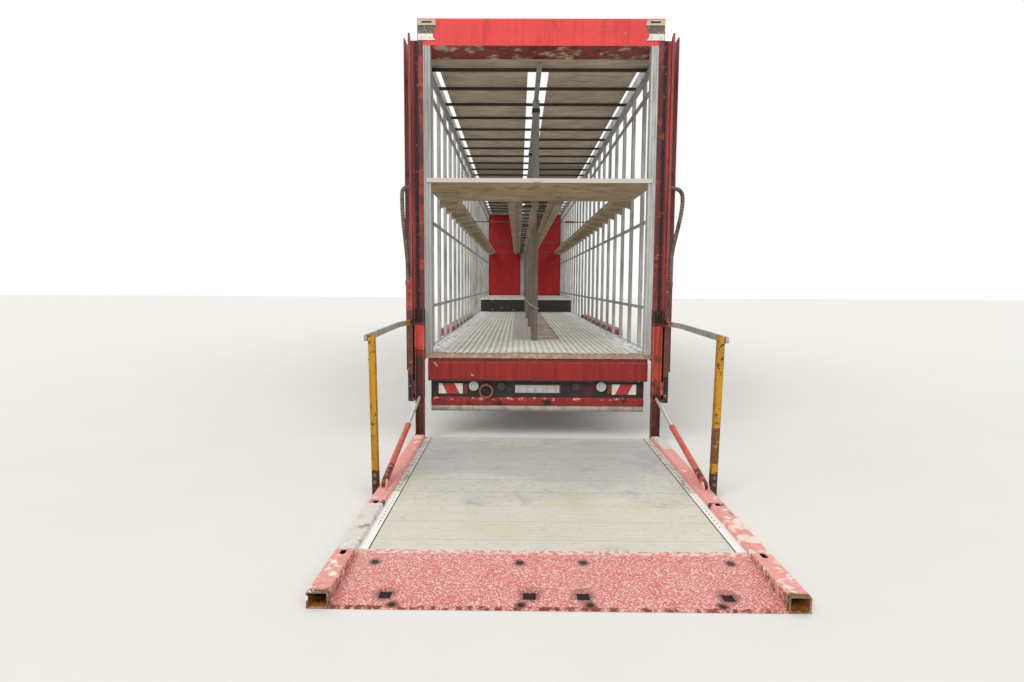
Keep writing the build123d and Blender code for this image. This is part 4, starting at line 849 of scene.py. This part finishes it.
AXLE = WornEnamel("axle_enamel", "#232324", "#33302D", primer="#4A3A30", chips=0.12, rusting=0.3)
FASTENER = WornEnamel(
    "zinc_plated_fastener", "#6E6A62", "#57524B", primer="#4A3A2E", chips=0.1, rusting=0.3, edge_mm=1.0,
    chip_mm=20,
)
DARK_RIVET = WornEnamel(
    "dark_steel_rivet", "#3A3632", "#4A4640", primer="#6A665E", chips=0.1, rusting=0.2, edge_mm=1.0,
    chip_mm=12,
)
NOSING = BareAluminium("nosing_aluminium", "#E0E0DC", "#C4C2BA", dirt=0.15)

# Places of the dark plugs in the ramp's plate
RAMP_PLUGS = (
    (-0.954, -7.835), (-0.179, -7.831), (0.162, -7.824), (0.951, -7.821),
    (-0.787, -8.215), (-0.174, -8.210), (0.155, -8.205), (0.784, -8.205),
)

# Finish of each CAD node, by the start of its name; the longest start that fits wins
ALUMINIUM = BareAluminium("weathered_aluminium")
FINISHES: dict[str, Finish] = {
    "frame_beams": CHASSIS, "cross_members": CHASSIS, "coupling_plate": RUST, "axles": AXLE,
    "lower_floor": PlankFloor(
        "ribbed_floor", "#E2E0D6", "#F0EEE5", "#6E6A60", Axis3.X, 62.0, share=0.68, groove_strength=0.48,
        cross_mm=60.0, zones=(
            # Margins: bare tread plate, pale with dark grey patches; the patchy pale and dark is a painted
            # reflection of the sky glinting on it.
            Zone("#EDEEEE", across=(0.965, 1.2), ragged_mm=3),
            Zone("#7C7E80", across=(0.965, 1.2), cover=0.42, grain_mm=70),
            Zone("#ABA69F", x=(-0.27, 0.33), y=(-3.5, 5.0), ragged_mm=30, strength=0.8),
            Zone("#8A5A54", x=(0.04, 0.33), y=(-3.5, 5.0), cover=0.5, grain_mm=240, strength=0.6),
            Zone("#7C7A78", x=(-0.27, 0.1), y=(-3.5, 5.0), cover=0.35, grain_mm=140, strength=0.6),
            Zone("#8E6A52", y=(-5.2, -4.95), ragged_mm=25, strength=0.9),
            Zone("#A8957C", y=(-5.2, -4.9), cover=0.4, grain_mm=60),
        ),
    ),
    "neck_floor": PlankFloor("neck_floor_planks", "#D8D6CC", "#E8E6DC", "#7F7A70", Axis3.X, 62.0),
    "riser_plate": RISER_BLACK, "rear_sill": SILL_RED,
    "portal_posts": BareAluminium(
        "portal_aluminium", "#BFC1BE", "#A5A6A2", dirt=0.22,
        # Left post darker grey: painted shade.
        zones=(Zone("#8E908C", x=LEFT, strength=0.55),),
    ),
    "roof_header": HEADER_RED,
    "roof_ribs": BareAluminium("roof_rib_aluminium", "#4A4641", "#2E2B28", dirt=0.5),
    "roof_rails": ALUMINIUM,
    "roof_panels": DirtyBoard(
        "roof_board", "#C9BDAC", "#A89A88", joint_mm=607,
        # Downward faces darker towards the front: painted shade deep under the roof.
        zones=(Zone("#7E7266", faces=DOWN, y=(0.5, 9.0), ragged_mm=400, strength=0.75),),
    ),
    "front_frame": ALUMINIUM, "front_panels": PANEL_RED, "side_bars": ALUMINIUM, "side_rails": ALUMINIUM,
    "upper_rear_plate": DirtyBoard(
        "upper_deck_board", "#B39C78", "#8C7656", zones=(
            Zone("#5E4E3A", faces=DOWN, cover=0.3, grain_mm=170, strength=0.55),
            Zone("#BDB4AA", faces=REAR, ragged_mm=2),
        ),
    ),
    "side_ledges": DirtyBoard("ledge_board", "#A39478", "#7C6C54"),
    "centre_ledge": DirtyBoard(
        "centre_ledge_board", "#A39478", "#7C6C54",
        zones=(Zone("#2E2620", across=(0.0405, 0.1495), ragged_mm=0.5),),
    ),
    "centre_posts": BareAluminium(
        "centre_post_aluminium", "#857D71", "#6E6457", dirt=0.35, zones=(
            Zone("#8F908F", z=(2.25, 3.9), strength=0.8),
            Zone("#3E2E26", z=(3.52, 3.5655), ragged_mm=1),
            Zone("#5E564A", z=(1.23, 1.2755), ragged_mm=1),
        ),
    ),
    "tie_rods": RUST, "wheel_arch_covers": COVER_RED,
    "air_springs": MouldedRubber("air_spring_rubber"), "landing_legs": GALVANISED,
    "underrun_guard": GUARD_RED, "lamp_carrier": BLACK, "rear_boards": WarningBoard("warning_board"),
    "rear_lamps": Lens("lamp_lens"), "lift_columns": COLUMN, "side_fairings": MAROON,
    "lift_pump_box": BLACK, "air_tanks": BLACK, "mud_flaps": MouldedRubber("flap_rubber"),
    "side_guards": ALUMINIUM, "lift_carriages": CARRIAGE_RED,
    "platform_deck": PlankFloor(
        "lift_planks", "#D2CFC4", "#C6C3B9", "#8F8D84", Axis3.Y, 25.0, groove_strength=0.24, plank_mm=275,
        zones=(
            Zone("#E0DCCA", y=(-7.8, -6.9), ragged_mm=200, strength=0.4),
            Zone("#C6C98E", y=(-7.8, -6.2), cover=0.3, grain_mm=420, strength=0.28),
            Zone("#A4A8A8", y=(-6.4, -5.2), ragged_mm=300, strength=0.45),
            Zone("#9C9AA8", y=(-7.0, -5.2), cover=0.3, grain_mm=300, strength=0.35),
            Zone("#D2CEC4", across=(1.0225, 1.2), ragged_mm=1),
            Zone("#8A8680", across=(1.0225, 1.2), y=(-6.75, -5.0), cover=0.35, grain_mm=60, strength=0.7),
            Zone("#F0EEEA", across=(1.0225, 1.08), y=(-7.8, -6.75), ragged_mm=5),
            Zone("#4A4640", across=(1.0165, 1.0225), ragged_mm=1),
            Zone("#8E8A82", faces=DOWN, strength=0.55),
            Zone("#D9D6CC", y=(-5.185, -5.0), ragged_mm=2),
        ),
    ),
    "platform_ramp": TreadPlate(
        "ramp_tread_plate", "#CC625A", "#C87C72", "#EACFC4", 15, zones=(
            # Dark brown round marks at the four openings by the rear edge: painted shade in and round each
            # opening, with some rust.
            *(Spot("#3A1C14", (side * x, -8.126), 0.075) for side in (-1, 1) for x in (0.131, 0.836)),
            *(Spot("#2A160E", at, 0.042, 1.0) for at in RAMP_PLUGS),
            Zone("#7E4640", faces=DOWN, strength=0.7),
            # Near-black floors of the openings' pockets: painted shade.
            Zone("#17120F", z=(-0.1, 0.0095), y=(-8.22, -8.08), faces=UP, ragged_mm=0.5),
            Zone("#7A3A30", y=(-8.3, -8.222), cover=0.5, grain_mm=40),
            Zone("#E2C9BC", y=(-7.745, -7.6), cover=0.5, grain_mm=30),
        ),
    ),
    "platform_arms": ARM_RED, "handrail_post": YELLOW,
    "handrail_bar": BareAluminium(
        "handrail_aluminium", "#B5B3AA", "#93918A", grain=(1, 0.05, 1), zones=(
            Zone("#A8802A", y=(-5.42, -5.0), ragged_mm=20, strength=0.9),
            Zone("#4A3420", y=(-5.42, -5.0), cover=0.35, grain_mm=40),
        ),
    ),
    "cylinder_barrel": CYLINDER_RED,
    "cylinder_rod": Chrome("chromed_rod", Zone("#2E2A27", y=(-5.14, -5.0), ragged_mm=2)),
    "tyres": MouldedRubber("tyre_rubber"), "rim": WHEEL_SILVER,
    "lift_hoses": MouldedRubber("hose_rubber"),
}


@dataclass
class PackedNodes:
    """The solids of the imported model: their shapes stay, and each gets its finish."""

    nodes: dict[str, Piece]

    def dress(self) -> None:
        """Puts the finish of its kind on each node, by the longest start of its name."""
        for name, node in self.nodes.items():
            finish = FINISHES[max((word for word in FINISHES if name.startswith(word)), key=len)]
            for slot in node.material_slots:
                slot.material = finish.build()
            log.info("%s wears %s", name, finish.name)


def fit(piece: Piece, finish: Finish, body: str) -> None:
    """Gives a new piece its finish, its body and its slot, and reports it.

    Args:
        piece: The finished mesh.
        finish: What it is made of.
        body: The body that it rides on.
    """
    piece.data.materials.clear()
    piece.data.materials.append(finish.build())
    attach(piece, body)
    log.info("%s has %d faces", piece.name, len(piece.data.polygons))


def start(name: str, add: Callable, **shape: object) -> Piece:
    """Adds a primitive, which is then the only thing selected, and opens it for editing.

    Args:
        name: Name of the piece.
        add: The operator that adds the primitive.
        shape: The operator's settings.

    Returns:
        The piece in edit mode, with all its points selected.
    """
    bpy.ops.object.select_all(action="DESELECT")
    add(**shape)
    piece = bpy.context.object
    piece.name = piece.data.name = name
    bpy.ops.object.mode_set(mode="EDIT")
    bpy.ops.mesh.select_mode(type="VERT")
    bpy.ops.mesh.select_all(action="SELECT")
    return piece


def pick(piece: Piece, test: Callable[[bpy.types.MeshPolygon], bool]) -> None:
    """Selects the faces that pass a test, and no others.

    Args:
        piece: The piece, in edit mode.
        test: Whether a face is wanted, by its middle and normal in the mesh's own space.
    """
    bpy.ops.mesh.select_mode(type="FACE")
    bpy.ops.mesh.select_all(action="DESELECT")
    bpy.ops.object.mode_set(mode="OBJECT")
    for face in piece.data.polygons:
        face.select = test(face)
    bpy.ops.object.mode_set(mode="EDIT")


def draw_out(along: Sequence[float]) -> None:
    """Extrudes what is selected by a vector.

    Args:
        along: The vector in metres.
    """
    bpy.ops.mesh.extrude_region_move(TRANSFORM_OT_translate={"value": along})


def close(piece: Piece, smooth_deg: float = 35.0) -> Piece:
    """Turns normals outwards, leaves edit mode, applies the place and smooths the flat angles.

    Args:
        piece: The piece, in edit mode.
        smooth_deg: The angle below which an edge is smooth.

    Returns:
        The same piece.
    """
    bpy.ops.mesh.select_all(action="SELECT")
    bpy.ops.mesh.remove_doubles(threshold=1e-6)
    bpy.ops.mesh.normals_make_consistent(inside=False)
    bpy.ops.object.mode_set(mode="OBJECT")
    bpy.ops.object.transform_apply(location=True, rotation=True, scale=True)
    bpy.ops.object.shade_smooth_by_angle(angle=math.radians(smooth_deg))
    piece.select_set(False)
    return piece


def joined(pieces: Sequence[Piece], name: str) -> Piece:
    """Joins pieces into the first of them.

    Args:
        pieces: The pieces, in object mode.
        name: Name of the joined piece.

    Returns:
        The joined piece.
    """
    bpy.ops.object.select_all(action="DESELECT")
    for piece in pieces:
        piece.select_set(True)
    bpy.context.view_layer.objects.active = pieces[0]
    if len(pieces) > 1:
        bpy.ops.object.join()
    pieces[0].name = pieces[0].data.name = name
    pieces[0].select_set(False)
    return pieces[0]


def copies(source: Piece, name: str, places: Sequence[Matrix]) -> Piece:
    """Copies a piece to each place, each copy with its own mesh, and joins them.

    Args:
        source: The piece as modelled; it stays.
        name: Name of the joined piece.
        places: Where each copy goes; a mirrored place has its faces turned back outwards.

    Returns:
        The joined piece.
    """
    made = []
    for matrix in places:
        mesh = source.data.copy()
        mesh.transform(matrix)
        if matrix.determinant() < 0:
            mesh.flip_normals()
        made.append(bpy.data.objects.new(name, mesh))
        bpy.context.collection.objects.link(made[-1])
    return joined(made, name)


def turn(degrees: float, axis: str) -> Matrix:
    """A turn about an axis through the origin."""
    return Matrix.Rotation(math.radians(degrees), 4, axis)


def drop(*patterns: Piece) -> None:
    """Deletes the pieces that copies were made from."""
    for pattern in patterns:
        bpy.data.objects.remove(pattern, do_unlink=True)


def turned(name: str, rings: Sequence[Ring], segments: int, capped: bool) -> Piece:
    """A shell turned about the X axis: a circle that is drawn out ring by ring.

    Args:
        name: Name of the piece.
        rings: Place along X and radius of each ring, in metres.
        segments: Number of sides.
        capped: Whether the last ring is closed by a face; otherwise it is bridged to the first.

    Returns:
        The piece, still in edit mode.
    """
    piece = start(
        name, bpy.ops.mesh.primitive_circle_add, vertices=segments, radius=rings[0][1], fill_type="NOTHING",
        location=(rings[0][0], 0, 0), rotation=(0, math.radians(90), 0),
    )
    for (x0, r0), (x1, r1) in zip(rings, rings[1:]):
        draw_out((x1 - x0, 0, 0))
        bpy.ops.transform.resize(value=(1, r1 / r0, r1 / r0), center_override=(x1, 0, 0))
    if capped:
        bpy.ops.mesh.edge_face_add()
    else:
        bpy.ops.mesh.select_mode(type="EDGE")
        bpy.ops.mesh.select_all(action="DESELECT")
        bpy.ops.mesh.select_non_manifold()
        bpy.ops.mesh.bridge_edge_loops()
    return piece


def sector(face: bpy.types.MeshPolygon, count: int) -> int:
    """Which of a turned shell's equal sectors a face lies in, in the circle's own space."""
    return math.floor((math.atan2(face.center.y, face.center.x) + math.pi) / (2 * math.pi / count))


def hex_head(name: str, across: float, height: float) -> Piece:
    """A hexagon head with a domed top on a washer, standing on the XY plane.

    Args:
        name: Name of the piece.
        across: Distance across the flats.
        height: Height over the surface.

    Returns:
        The piece in object mode.
    """
    washer, crown, rim, spread = 0.15 * height, 0.12 * height, 0.08 * across, 1.25
    piece = start(
        name, bpy.ops.mesh.primitive_cylinder_add, vertices=6, radius=across / math.sqrt(3),
        depth=height - washer, location=(0, 0, (height + washer) / 2),
    )
    pick(piece, lambda face: face.normal.z > 0.9)
    bpy.ops.mesh.inset(thickness=rim, depth=0.0)
    bpy.ops.transform.translate(value=(0, 0, crown))
    pick(piece, lambda face: face.normal.z < -0.9)
    bpy.ops.transform.resize(value=(spread, spread, 1), center_override=(0, 0, washer))
    draw_out((0, 0, -washer))
    return close(piece, 20)


def rivet_head(name: str, radius: float, height: float) -> Piece:
    """A domed rivet head standing on the XY plane.

    Args:
        name: Name of the piece.
        radius: Radius of its rim.
        height: Height over the surface.

    Returns:
        The piece in object mode.
    """
    piece = start(name, bpy.ops.mesh.primitive_uv_sphere_add, segments=10, ring_count=6, radius=radius)
    bpy.ops.mesh.bisect(plane_co=(0, 0, 0), plane_no=(0, 0, 1), clear_inner=True, use_fill=True)
    bpy.ops.mesh.select_all(action="SELECT")
    bpy.ops.transform.resize(value=(1, 1, height / radius), center_override=(0, 0, 0))
    return close(piece, 50)


@dataclass
class Photographer:
    """The camera at the photograph's place, from a fit of its lines to the vehicle's sizes."""

    place: Point = (-0.197, -10.998, 1.529)
    yaw: float = -0.531
    pitch: float = -5.268
    roll: float = 0.322
    focal_px: float = 614.25
    frame_px: float = 1024.0
    sensor_mm: float = 36.0

    def build(self) -> None:
        """Adds the camera and makes it the scene's own."""
        data = bpy.data.cameras.new("camera")
        data.sensor_width = self.sensor_mm
        data.lens = self.focal_px / self.frame_px * self.sensor_mm
        camera = bpy.data.objects.new("camera", data)
        bpy.context.collection.objects.link(camera)
        aim = turn(-self.yaw, "Z") @ turn(90 + self.pitch, "X") @ turn(self.roll, "Z")
        camera.matrix_world = Matrix.Translation(self.place) @ aim
        bpy.context.scene.camera = camera


@dataclass
class Studio:
    """A pale floor, an even sky and broad soft lamps."""

    floor_size: float = 120.0
    sky: float = 0.8
    softness: float = 35.0
    lamps: Sequence[tuple[str, float, Point]] = (("key", 1.5, (50, 0, -32)), ("fill", 0.675, (58, 0, 40)))

    def build(self) -> None:
        """Adds the world, the floor and the lamps."""
        world = bpy.data.worlds.new("studio_sky")
        bpy.context.scene.world = world
        world.use_nodes = True
        world.node_tree.nodes.clear()
        self.light(world.node_tree)
        bpy.ops.mesh.primitive_plane_add(size=self.floor_size, location=(0, 0, 0))
        floor = bpy.context.object
        floor.name = "studio_floor"
        floor.data.materials.append(FloorPaint("studio_floor_paint").build())
        for name, energy, angles in self.lamps:
            light = bpy.data.lights.new(name, "SUN")
            light.energy = energy
            light.angle = math.radians(self.softness)
            lamp = bpy.data.objects.new(name, light)
            lamp.rotation_euler = tuple(math.radians(a) for a in angles)
            bpy.context.collection.objects.link(lamp)

    def light(self, tree: Tree) -> None:
        """An even sky, seen as plain white.

        Args:
            tree: The world's tree.
        """
        path = put(tree, "LightPath").outputs
        seen = path["Is Camera Ray"]
        for name in ("Is Glossy Ray", "Is Transmission Ray"):
            seen = put(tree, "Math", (seen, path[name]), operation="MAXIMUM")
        strength = put(tree, "MapRange", (seen, 0.0, 1.0, self.sky, 1.0))
        put(tree, "OutputWorld", (put(tree, "Background", ("#FFFFFF", strength)),))


@dataclass
class LiftHoses:
    """The sleeved hoses that leave the columns, arch outwards and come down to a clip.

    A route is the distance from the middle plane and the height of each point.
    """

    radius: float = 0.019
    depth: float = -5.132
    smoothing: float = 0.985
    left: Sequence[Span] = (
        (1.236, 2.430), (1.250, 2.430), (1.270, 2.423), (1.285, 2.405), (1.292, 2.380), (1.293, 2.300),
        (1.289, 2.180), (1.277, 2.040), (1.262, 1.900), (1.250, 1.770), (1.244, 1.670), (1.244, 1.560),
    )
    right: Sequence[Span] = (
        (1.236, 2.430), (1.262, 2.430), (1.300, 2.420), (1.328, 2.393), (1.340, 2.350), (1.339, 2.270),
        (1.324, 2.160), (1.296, 2.030), (1.264, 1.890), (1.244, 1.740), (1.244, 1.560),
    )

    def build(self) -> None:
        for side, route in ((Side.LEFT, self.left), (Side.RIGHT, self.right)):
            self.hose(f"lift_hose_{side.label}", [(side.value * x, self.depth, z) for x, z in route])

    def hose(self, name: str, points: Sequence[Point]) -> None:
        """One hose as a smooth curve with a round section.

        Args:
            name: Name of the piece.
            points: Its route, from the column's ferrule to the clip.
        """
        curve = bpy.data.curves.new(name, "CURVE")
        curve.dimensions = "3D"
        curve.bevel_depth = self.radius
        curve.bevel_resolution = 6
        curve.resolution_u = 16
        curve.use_fill_caps = True
        spline = curve.splines.new("NURBS")
        spline.points.add(len(points) - 1)
        for point, target in zip(points, spline.points):
            target.co = (*point, 1.0)
        spline.order_u = 3
        spline.use_endpoint_u = True
        piece = bpy.data.objects.new(name, curve)
        bpy.context.collection.objects.link(piece)
        curve.materials.append(Sleeve("hose_sleeve").build())
        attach(piece, "root")
        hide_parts("lift_hoses")


@dataclass
class RoadWheels:
    """Tyres with ribbed tread and notched shoulders, and the dress of the wheel discs.

    A ring is its place along the axle and its radius, from the tyre's own middle or the vehicle's.
    """

    axle_rows: Sequence[float] = (-1.560, -0.250, 1.060)
    centre_z: float = 0.380
    twins: Span = (1.160, 0.918)
    tyre_sides: int = 96
    tread_r: float = 0.380
    groove_r: float = 0.366
    groove_half: float = 0.0045
    grooves: Sequence[float] = (-0.054, -0.018, 0.018, 0.054)
    wall: Sequence[Ring] = (
        (0.078, 0.2225), (0.084, 0.236), (0.092, 0.244), (0.096, 0.250), (0.102, 0.262), (0.1062, 0.285),
        (0.1068, 0.305), (0.1040, 0.328), (0.0985, 0.346), (0.0945, 0.356), (0.0935, 0.3705),
        (0.0900, 0.3770),
    )
    notch_x: Span = (0.060, 0.0925)
    notch_r: float = 0.368
    notch_depth: float = 0.006
    disc_sides: int = 60
    disc: Sequence[Ring] = (
        (1.049, 0.2125), (1.058, 0.206), (1.065, 0.196), (1.066, 0.168), (1.060, 0.156), (1.058, 0.118),
        (1.064, 0.106),
    )
    hand_holes: Span = (0.172, 0.194)
    hole_rim: float = 0.004
    hole_depth: float = 0.017
    cap_sides: int = 36
    cap: Sequence[Ring] = (
        (1.212, 0.078), (1.222, 0.078), (1.224, 0.066), (1.238, 0.062), (1.244, 0.050), (1.245, 0.020),
    )
    nut_count: int = 10
    nut_ring: Ring = (1.058, 0.138)
    nut_size: Span = (0.030, 0.020)

    def build(self) -> None:
        """Adds the tyres and the wheel dress of all six wheel bodies."""
        tyre, dress = self.tyre(), self.dress()
        for number, y in enumerate(self.axle_rows, start=1):
            for side in Side:
                wheel = f"{side.label}_{number}"
                middle = Matrix.Translation((0, y, self.centre_z))
                places = [middle @ Matrix.Translation((side.value * x, 0, 0)) for x in self.twins]
                tyres = copies(tyre, f"road_tyres_{wheel}", places)
                fit(tyres, MouldedRubber("tyre_rubber"), f"wheel_{wheel}")
                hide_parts(f"tyres_{wheel}")
                mirror = Matrix.Scale(side.value, 4, (1, 0, 0))
                fit(
                    copies(dress, f"wheel_dress_{wheel}", [middle @ mirror]), WHEEL_SILVER,
                    f"wheel_{wheel}",
                )
        drop(tyre, dress)

    def tyre(self) -> Piece:
        """One tyre about the X axis, with every second shoulder face sunk.

        Returns:
            The pattern of all tyres.
        """
        lip = self.groove_half + MM
        groove = (
            (-lip, self.tread_r), (-self.groove_half, self.groove_r), (self.groove_half, self.groove_r),
            (lip, self.tread_r),
        )
        tread = [(middle + x, r) for middle in self.grooves for x, r in groove]
        rings = [*((-x, r) for x, r in self.wall), *tread, *reversed(self.wall)]
        piece = turned("tyre_pattern", rings, self.tyre_sides, capped=False)
        bpy.ops.mesh.select_all(action="SELECT")
        bpy.ops.mesh.normals_make_consistent(inside=False)
        low, high = self.notch_x
        pick(
            piece, lambda face: low < abs(face.center.z - self.wall[0][0]) < high
            and face.center.xy.length > self.notch_r and sector(face, self.tyre_sides) % 2 == 0,
        )
        bpy.ops.mesh.extrude_region_shrink_fatten(TRANSFORM_OT_shrink_fatten={"value": -self.notch_depth})
        return close(piece)

    def dress(self) -> Piece:
        """The dished disc with hand holes, the hub cap and the wheel nuts, on the right side.

        Returns:
            The pattern of all wheels.
        """
        disc = turned("disc_pattern", self.disc, self.disc_sides, capped=True)
        low, high = self.hand_holes
        pick(
            disc, lambda face: low < face.center.xy.length < high
            and sector(face, self.disc_sides) % 6 in (1, 2),
        )
        bpy.ops.mesh.inset(thickness=self.hole_rim, depth=0.0)
        draw_out((-self.hole_depth, 0, 0))
        close(disc)
        cap = close(turned("cap_pattern", self.cap, self.cap_sides, capped=True))
        nut = hex_head("nut_pattern", *self.nut_size)
        x, radius = self.nut_ring
        seat = Matrix.Translation((x, 0, radius)) @ turn(90, "Y")
        ring = [turn(360 * i / self.nut_count, "X") @ seat for i in range(self.nut_count)]
        nuts = copies(nut, "nuts_pattern", ring)
        drop(nut)
        return joined([disc, cap, nuts], "dress_pattern")


@dataclass
class Fasteners:
    """Rivets along the platform's side strips, plugs in the ramp, and bolts at brackets, panels and posts.

    A rivet's and a plug's size is radius and height, a bolt's is the distance across its flats and height.
    The panels' bolts are rivets made larger by the share panel_bolt.
    """

    rivet_size: Span = (0.0055, 0.004)
    plug_size: Span = (0.016, 0.003)
    bolt_size: Span = (0.024, 0.012)
    strip_at: Span = (1.044, 0.057)
    strip_y: Span = (-7.35, -5.22)
    rivet_pitch: float = 0.052
    ramp_top: tuple[Span, Span] = ((-7.700, 0.055), (-8.240, 0.0))
    bracket_x: Span = (1.030, 1.110)
    bracket_at: Span = (-5.0675, 3.805)
    panel_x: Span = (0.30, 0.90)
    panel_y: float = 8.2105
    panel_z: Sequence[float] = (1.60, 2.05, 2.80, 3.30)
    panel_bolt: float = 1.8
    post_at: Span = (1.2205, -6.682)
    post_z: Span = (0.102, 0.152)

    def build(self) -> None:
        """Adds every row and group."""
        rivet = rivet_head("rivet_pattern", *self.rivet_size)
        bolt = hex_head("bolt_pattern", *self.bolt_size)
        plug = rivet_head("plug_pattern", *self.plug_size)
        rows = (
            ("platform_strip_rivets", rivet, self.strips(), DARK_RIVET, "platform"),
            ("ramp_plugs", plug, self.ramp(), DARK_RIVET, "platform"),
            ("bracket_screws", rivet, self.brackets(), FASTENER, "root"),
            ("front_panel_bolts", rivet, self.panels(), FASTENER, "root"),
            ("post_foot_bolts_left", bolt, self.foot(Side.LEFT), FASTENER, "handrail_post_left"),
            ("post_foot_bolts_right", bolt, self.foot(Side.RIGHT), FASTENER, "handrail_post_right"),
        )
        for name, pattern, places, finish, body in rows:
            fit(copies(pattern, name, places), finish, body)
        drop(rivet, bolt, plug)

    def strips(self) -> list[Matrix]:
        """Places of the rivets along each side strip.

        Returns:
            One place for each rivet.
        """
        x, z = self.strip_at
        first, last = self.strip_y
        along = [first + i * self.rivet_pitch for i in range(int((last - first) / self.rivet_pitch))]
        return [Matrix.Translation((side.value * x, y, z)) for side in Side for y in along]

    def ramp(self) -> list[Matrix]:
        """Places of the plugs in the ramp's plate, tilted with it.

        Returns:
            One place for each plug.
        """
        (y0, z0), (y1, z1) = self.ramp_top
        slope = (z0 - z1) / (y0 - y1)
        tilt = turn(math.degrees(math.atan(slope)), "X")
        return [Matrix.Translation((x, y, z0 + (y - y0) * slope)) @ tilt for x, y in RAMP_PLUGS]

    def brackets(self) -> list[Matrix]:
        """Places of two screws in the foot of each corner bracket of the header."""
        spots = [(side.value * x, *self.bracket_at) for side in Side for x in self.bracket_x]
        return [Matrix.Translation(spot) @ turn(90, "X") for spot in spots]

    def panels(self) -> list[Matrix]:
        """Places and size of the bolts that hold the red front panels, on their inner face.

        Returns:
            One place for each bolt, which also makes it larger than a rivet.
        """
        lay = turn(90, "X") @ Matrix.Scale(self.panel_bolt, 4)
        return [
            Matrix.Translation((side.value * x, self.panel_y, z)) @ lay
            for side in Side for x in self.panel_x for z in self.panel_z
        ]

    def foot(self, side: Side) -> list[Matrix]:
        """Places of the bolts on the rear face of one handrail post's foot."""
        x, y = self.post_at
        return [Matrix.Translation((side.value * x, y, z)) @ turn(90, "X") for z in self.post_z]


@dataclass
class Fittings:
    """The clamp lever on the first centre post and the nosing of the riser."""

    lever: Sequence[Span] = ((0.050, 1.236), (-0.055, 1.292), (-0.149, 1.419), (-0.152, 1.432))
    lever_y: float = -3.652
    lever_wide: float = 0.022
    lever_thick: float = 0.012
    lever_round: float = 0.002
    nosing_half: float = 1.105
    nosing_y: Span = (4.1565, 4.200)
    nosing_z: Span = (1.152, 1.193)
    nosing_rim: float = 0.004
    nosing_round: float = 0.0015

    def build(self) -> None:
        """Adds both fittings."""
        fit(self.post_lever(), GALVANISED, "root")
        fit(self.riser_nosing(), NOSING, "root")

    def post_lever(self) -> Piece:
        """A flat bar through the clamp, bent up at its handle.

        Returns:
            The finished piece.
        """
        foot = (self.lever[0][0], self.lever_y, self.lever[0][1])
        piece = start(
            "post_clamp_lever", bpy.ops.mesh.primitive_plane_add, size=self.lever_wide, location=foot,
            rotation=(0, math.radians(-90), 0),
        )
        bpy.ops.transform.resize(value=(1, self.lever_thick / self.lever_wide, 1), center_override=foot)
        for (x0, z0), (x1, z1) in zip(self.lever, self.lever[1:]):
            draw_out((x1 - x0, 0, z1 - z0))
        bpy.ops.mesh.select_all(action="SELECT")
        bpy.ops.mesh.bevel(offset=self.lever_round, segments=2, affect="EDGES")
        return close(piece)

    def riser_nosing(self) -> Piece:
        """A bright angle over the top edge of the riser.

        Returns:
            The finished piece.
        """
        (y0, y1), (z0, z1) = self.nosing_y, self.nosing_z
        piece = start(
            "riser_nosing", bpy.ops.mesh.primitive_cube_add, size=1,
            location=(0, (y0 + y1) / 2, (z0 + z1) / 2), scale=(2 * self.nosing_half, y1 - y0, z1 - z0),
        )
        pick(piece, lambda face: face.normal.z < -0.9)
        bpy.ops.mesh.inset(thickness=self.nosing_rim, depth=0.0)
        pick(piece, lambda face: face.normal.y < -0.9)
        bpy.ops.transform.translate(value=(0, 0, -self.nosing_rim))
        bpy.ops.mesh.select_all(action="SELECT")
        bpy.ops.mesh.bevel(offset=self.nosing_round, segments=2, affect="EDGES")
        return close(piece)


def main() -> None:
    """Builds the scene in order and reports each piece."""
    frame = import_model()
    bpy.context.scene.view_settings.view_transform = "Standard"
    Photographer().build()
    PackedNodes(frame["nodes"]).dress()
    for assembly in (LiftHoses(), RoadWheels(), Fasteners(), Fittings(), Studio()):
        assembly.build()


if __name__ == "__main__":
    main()
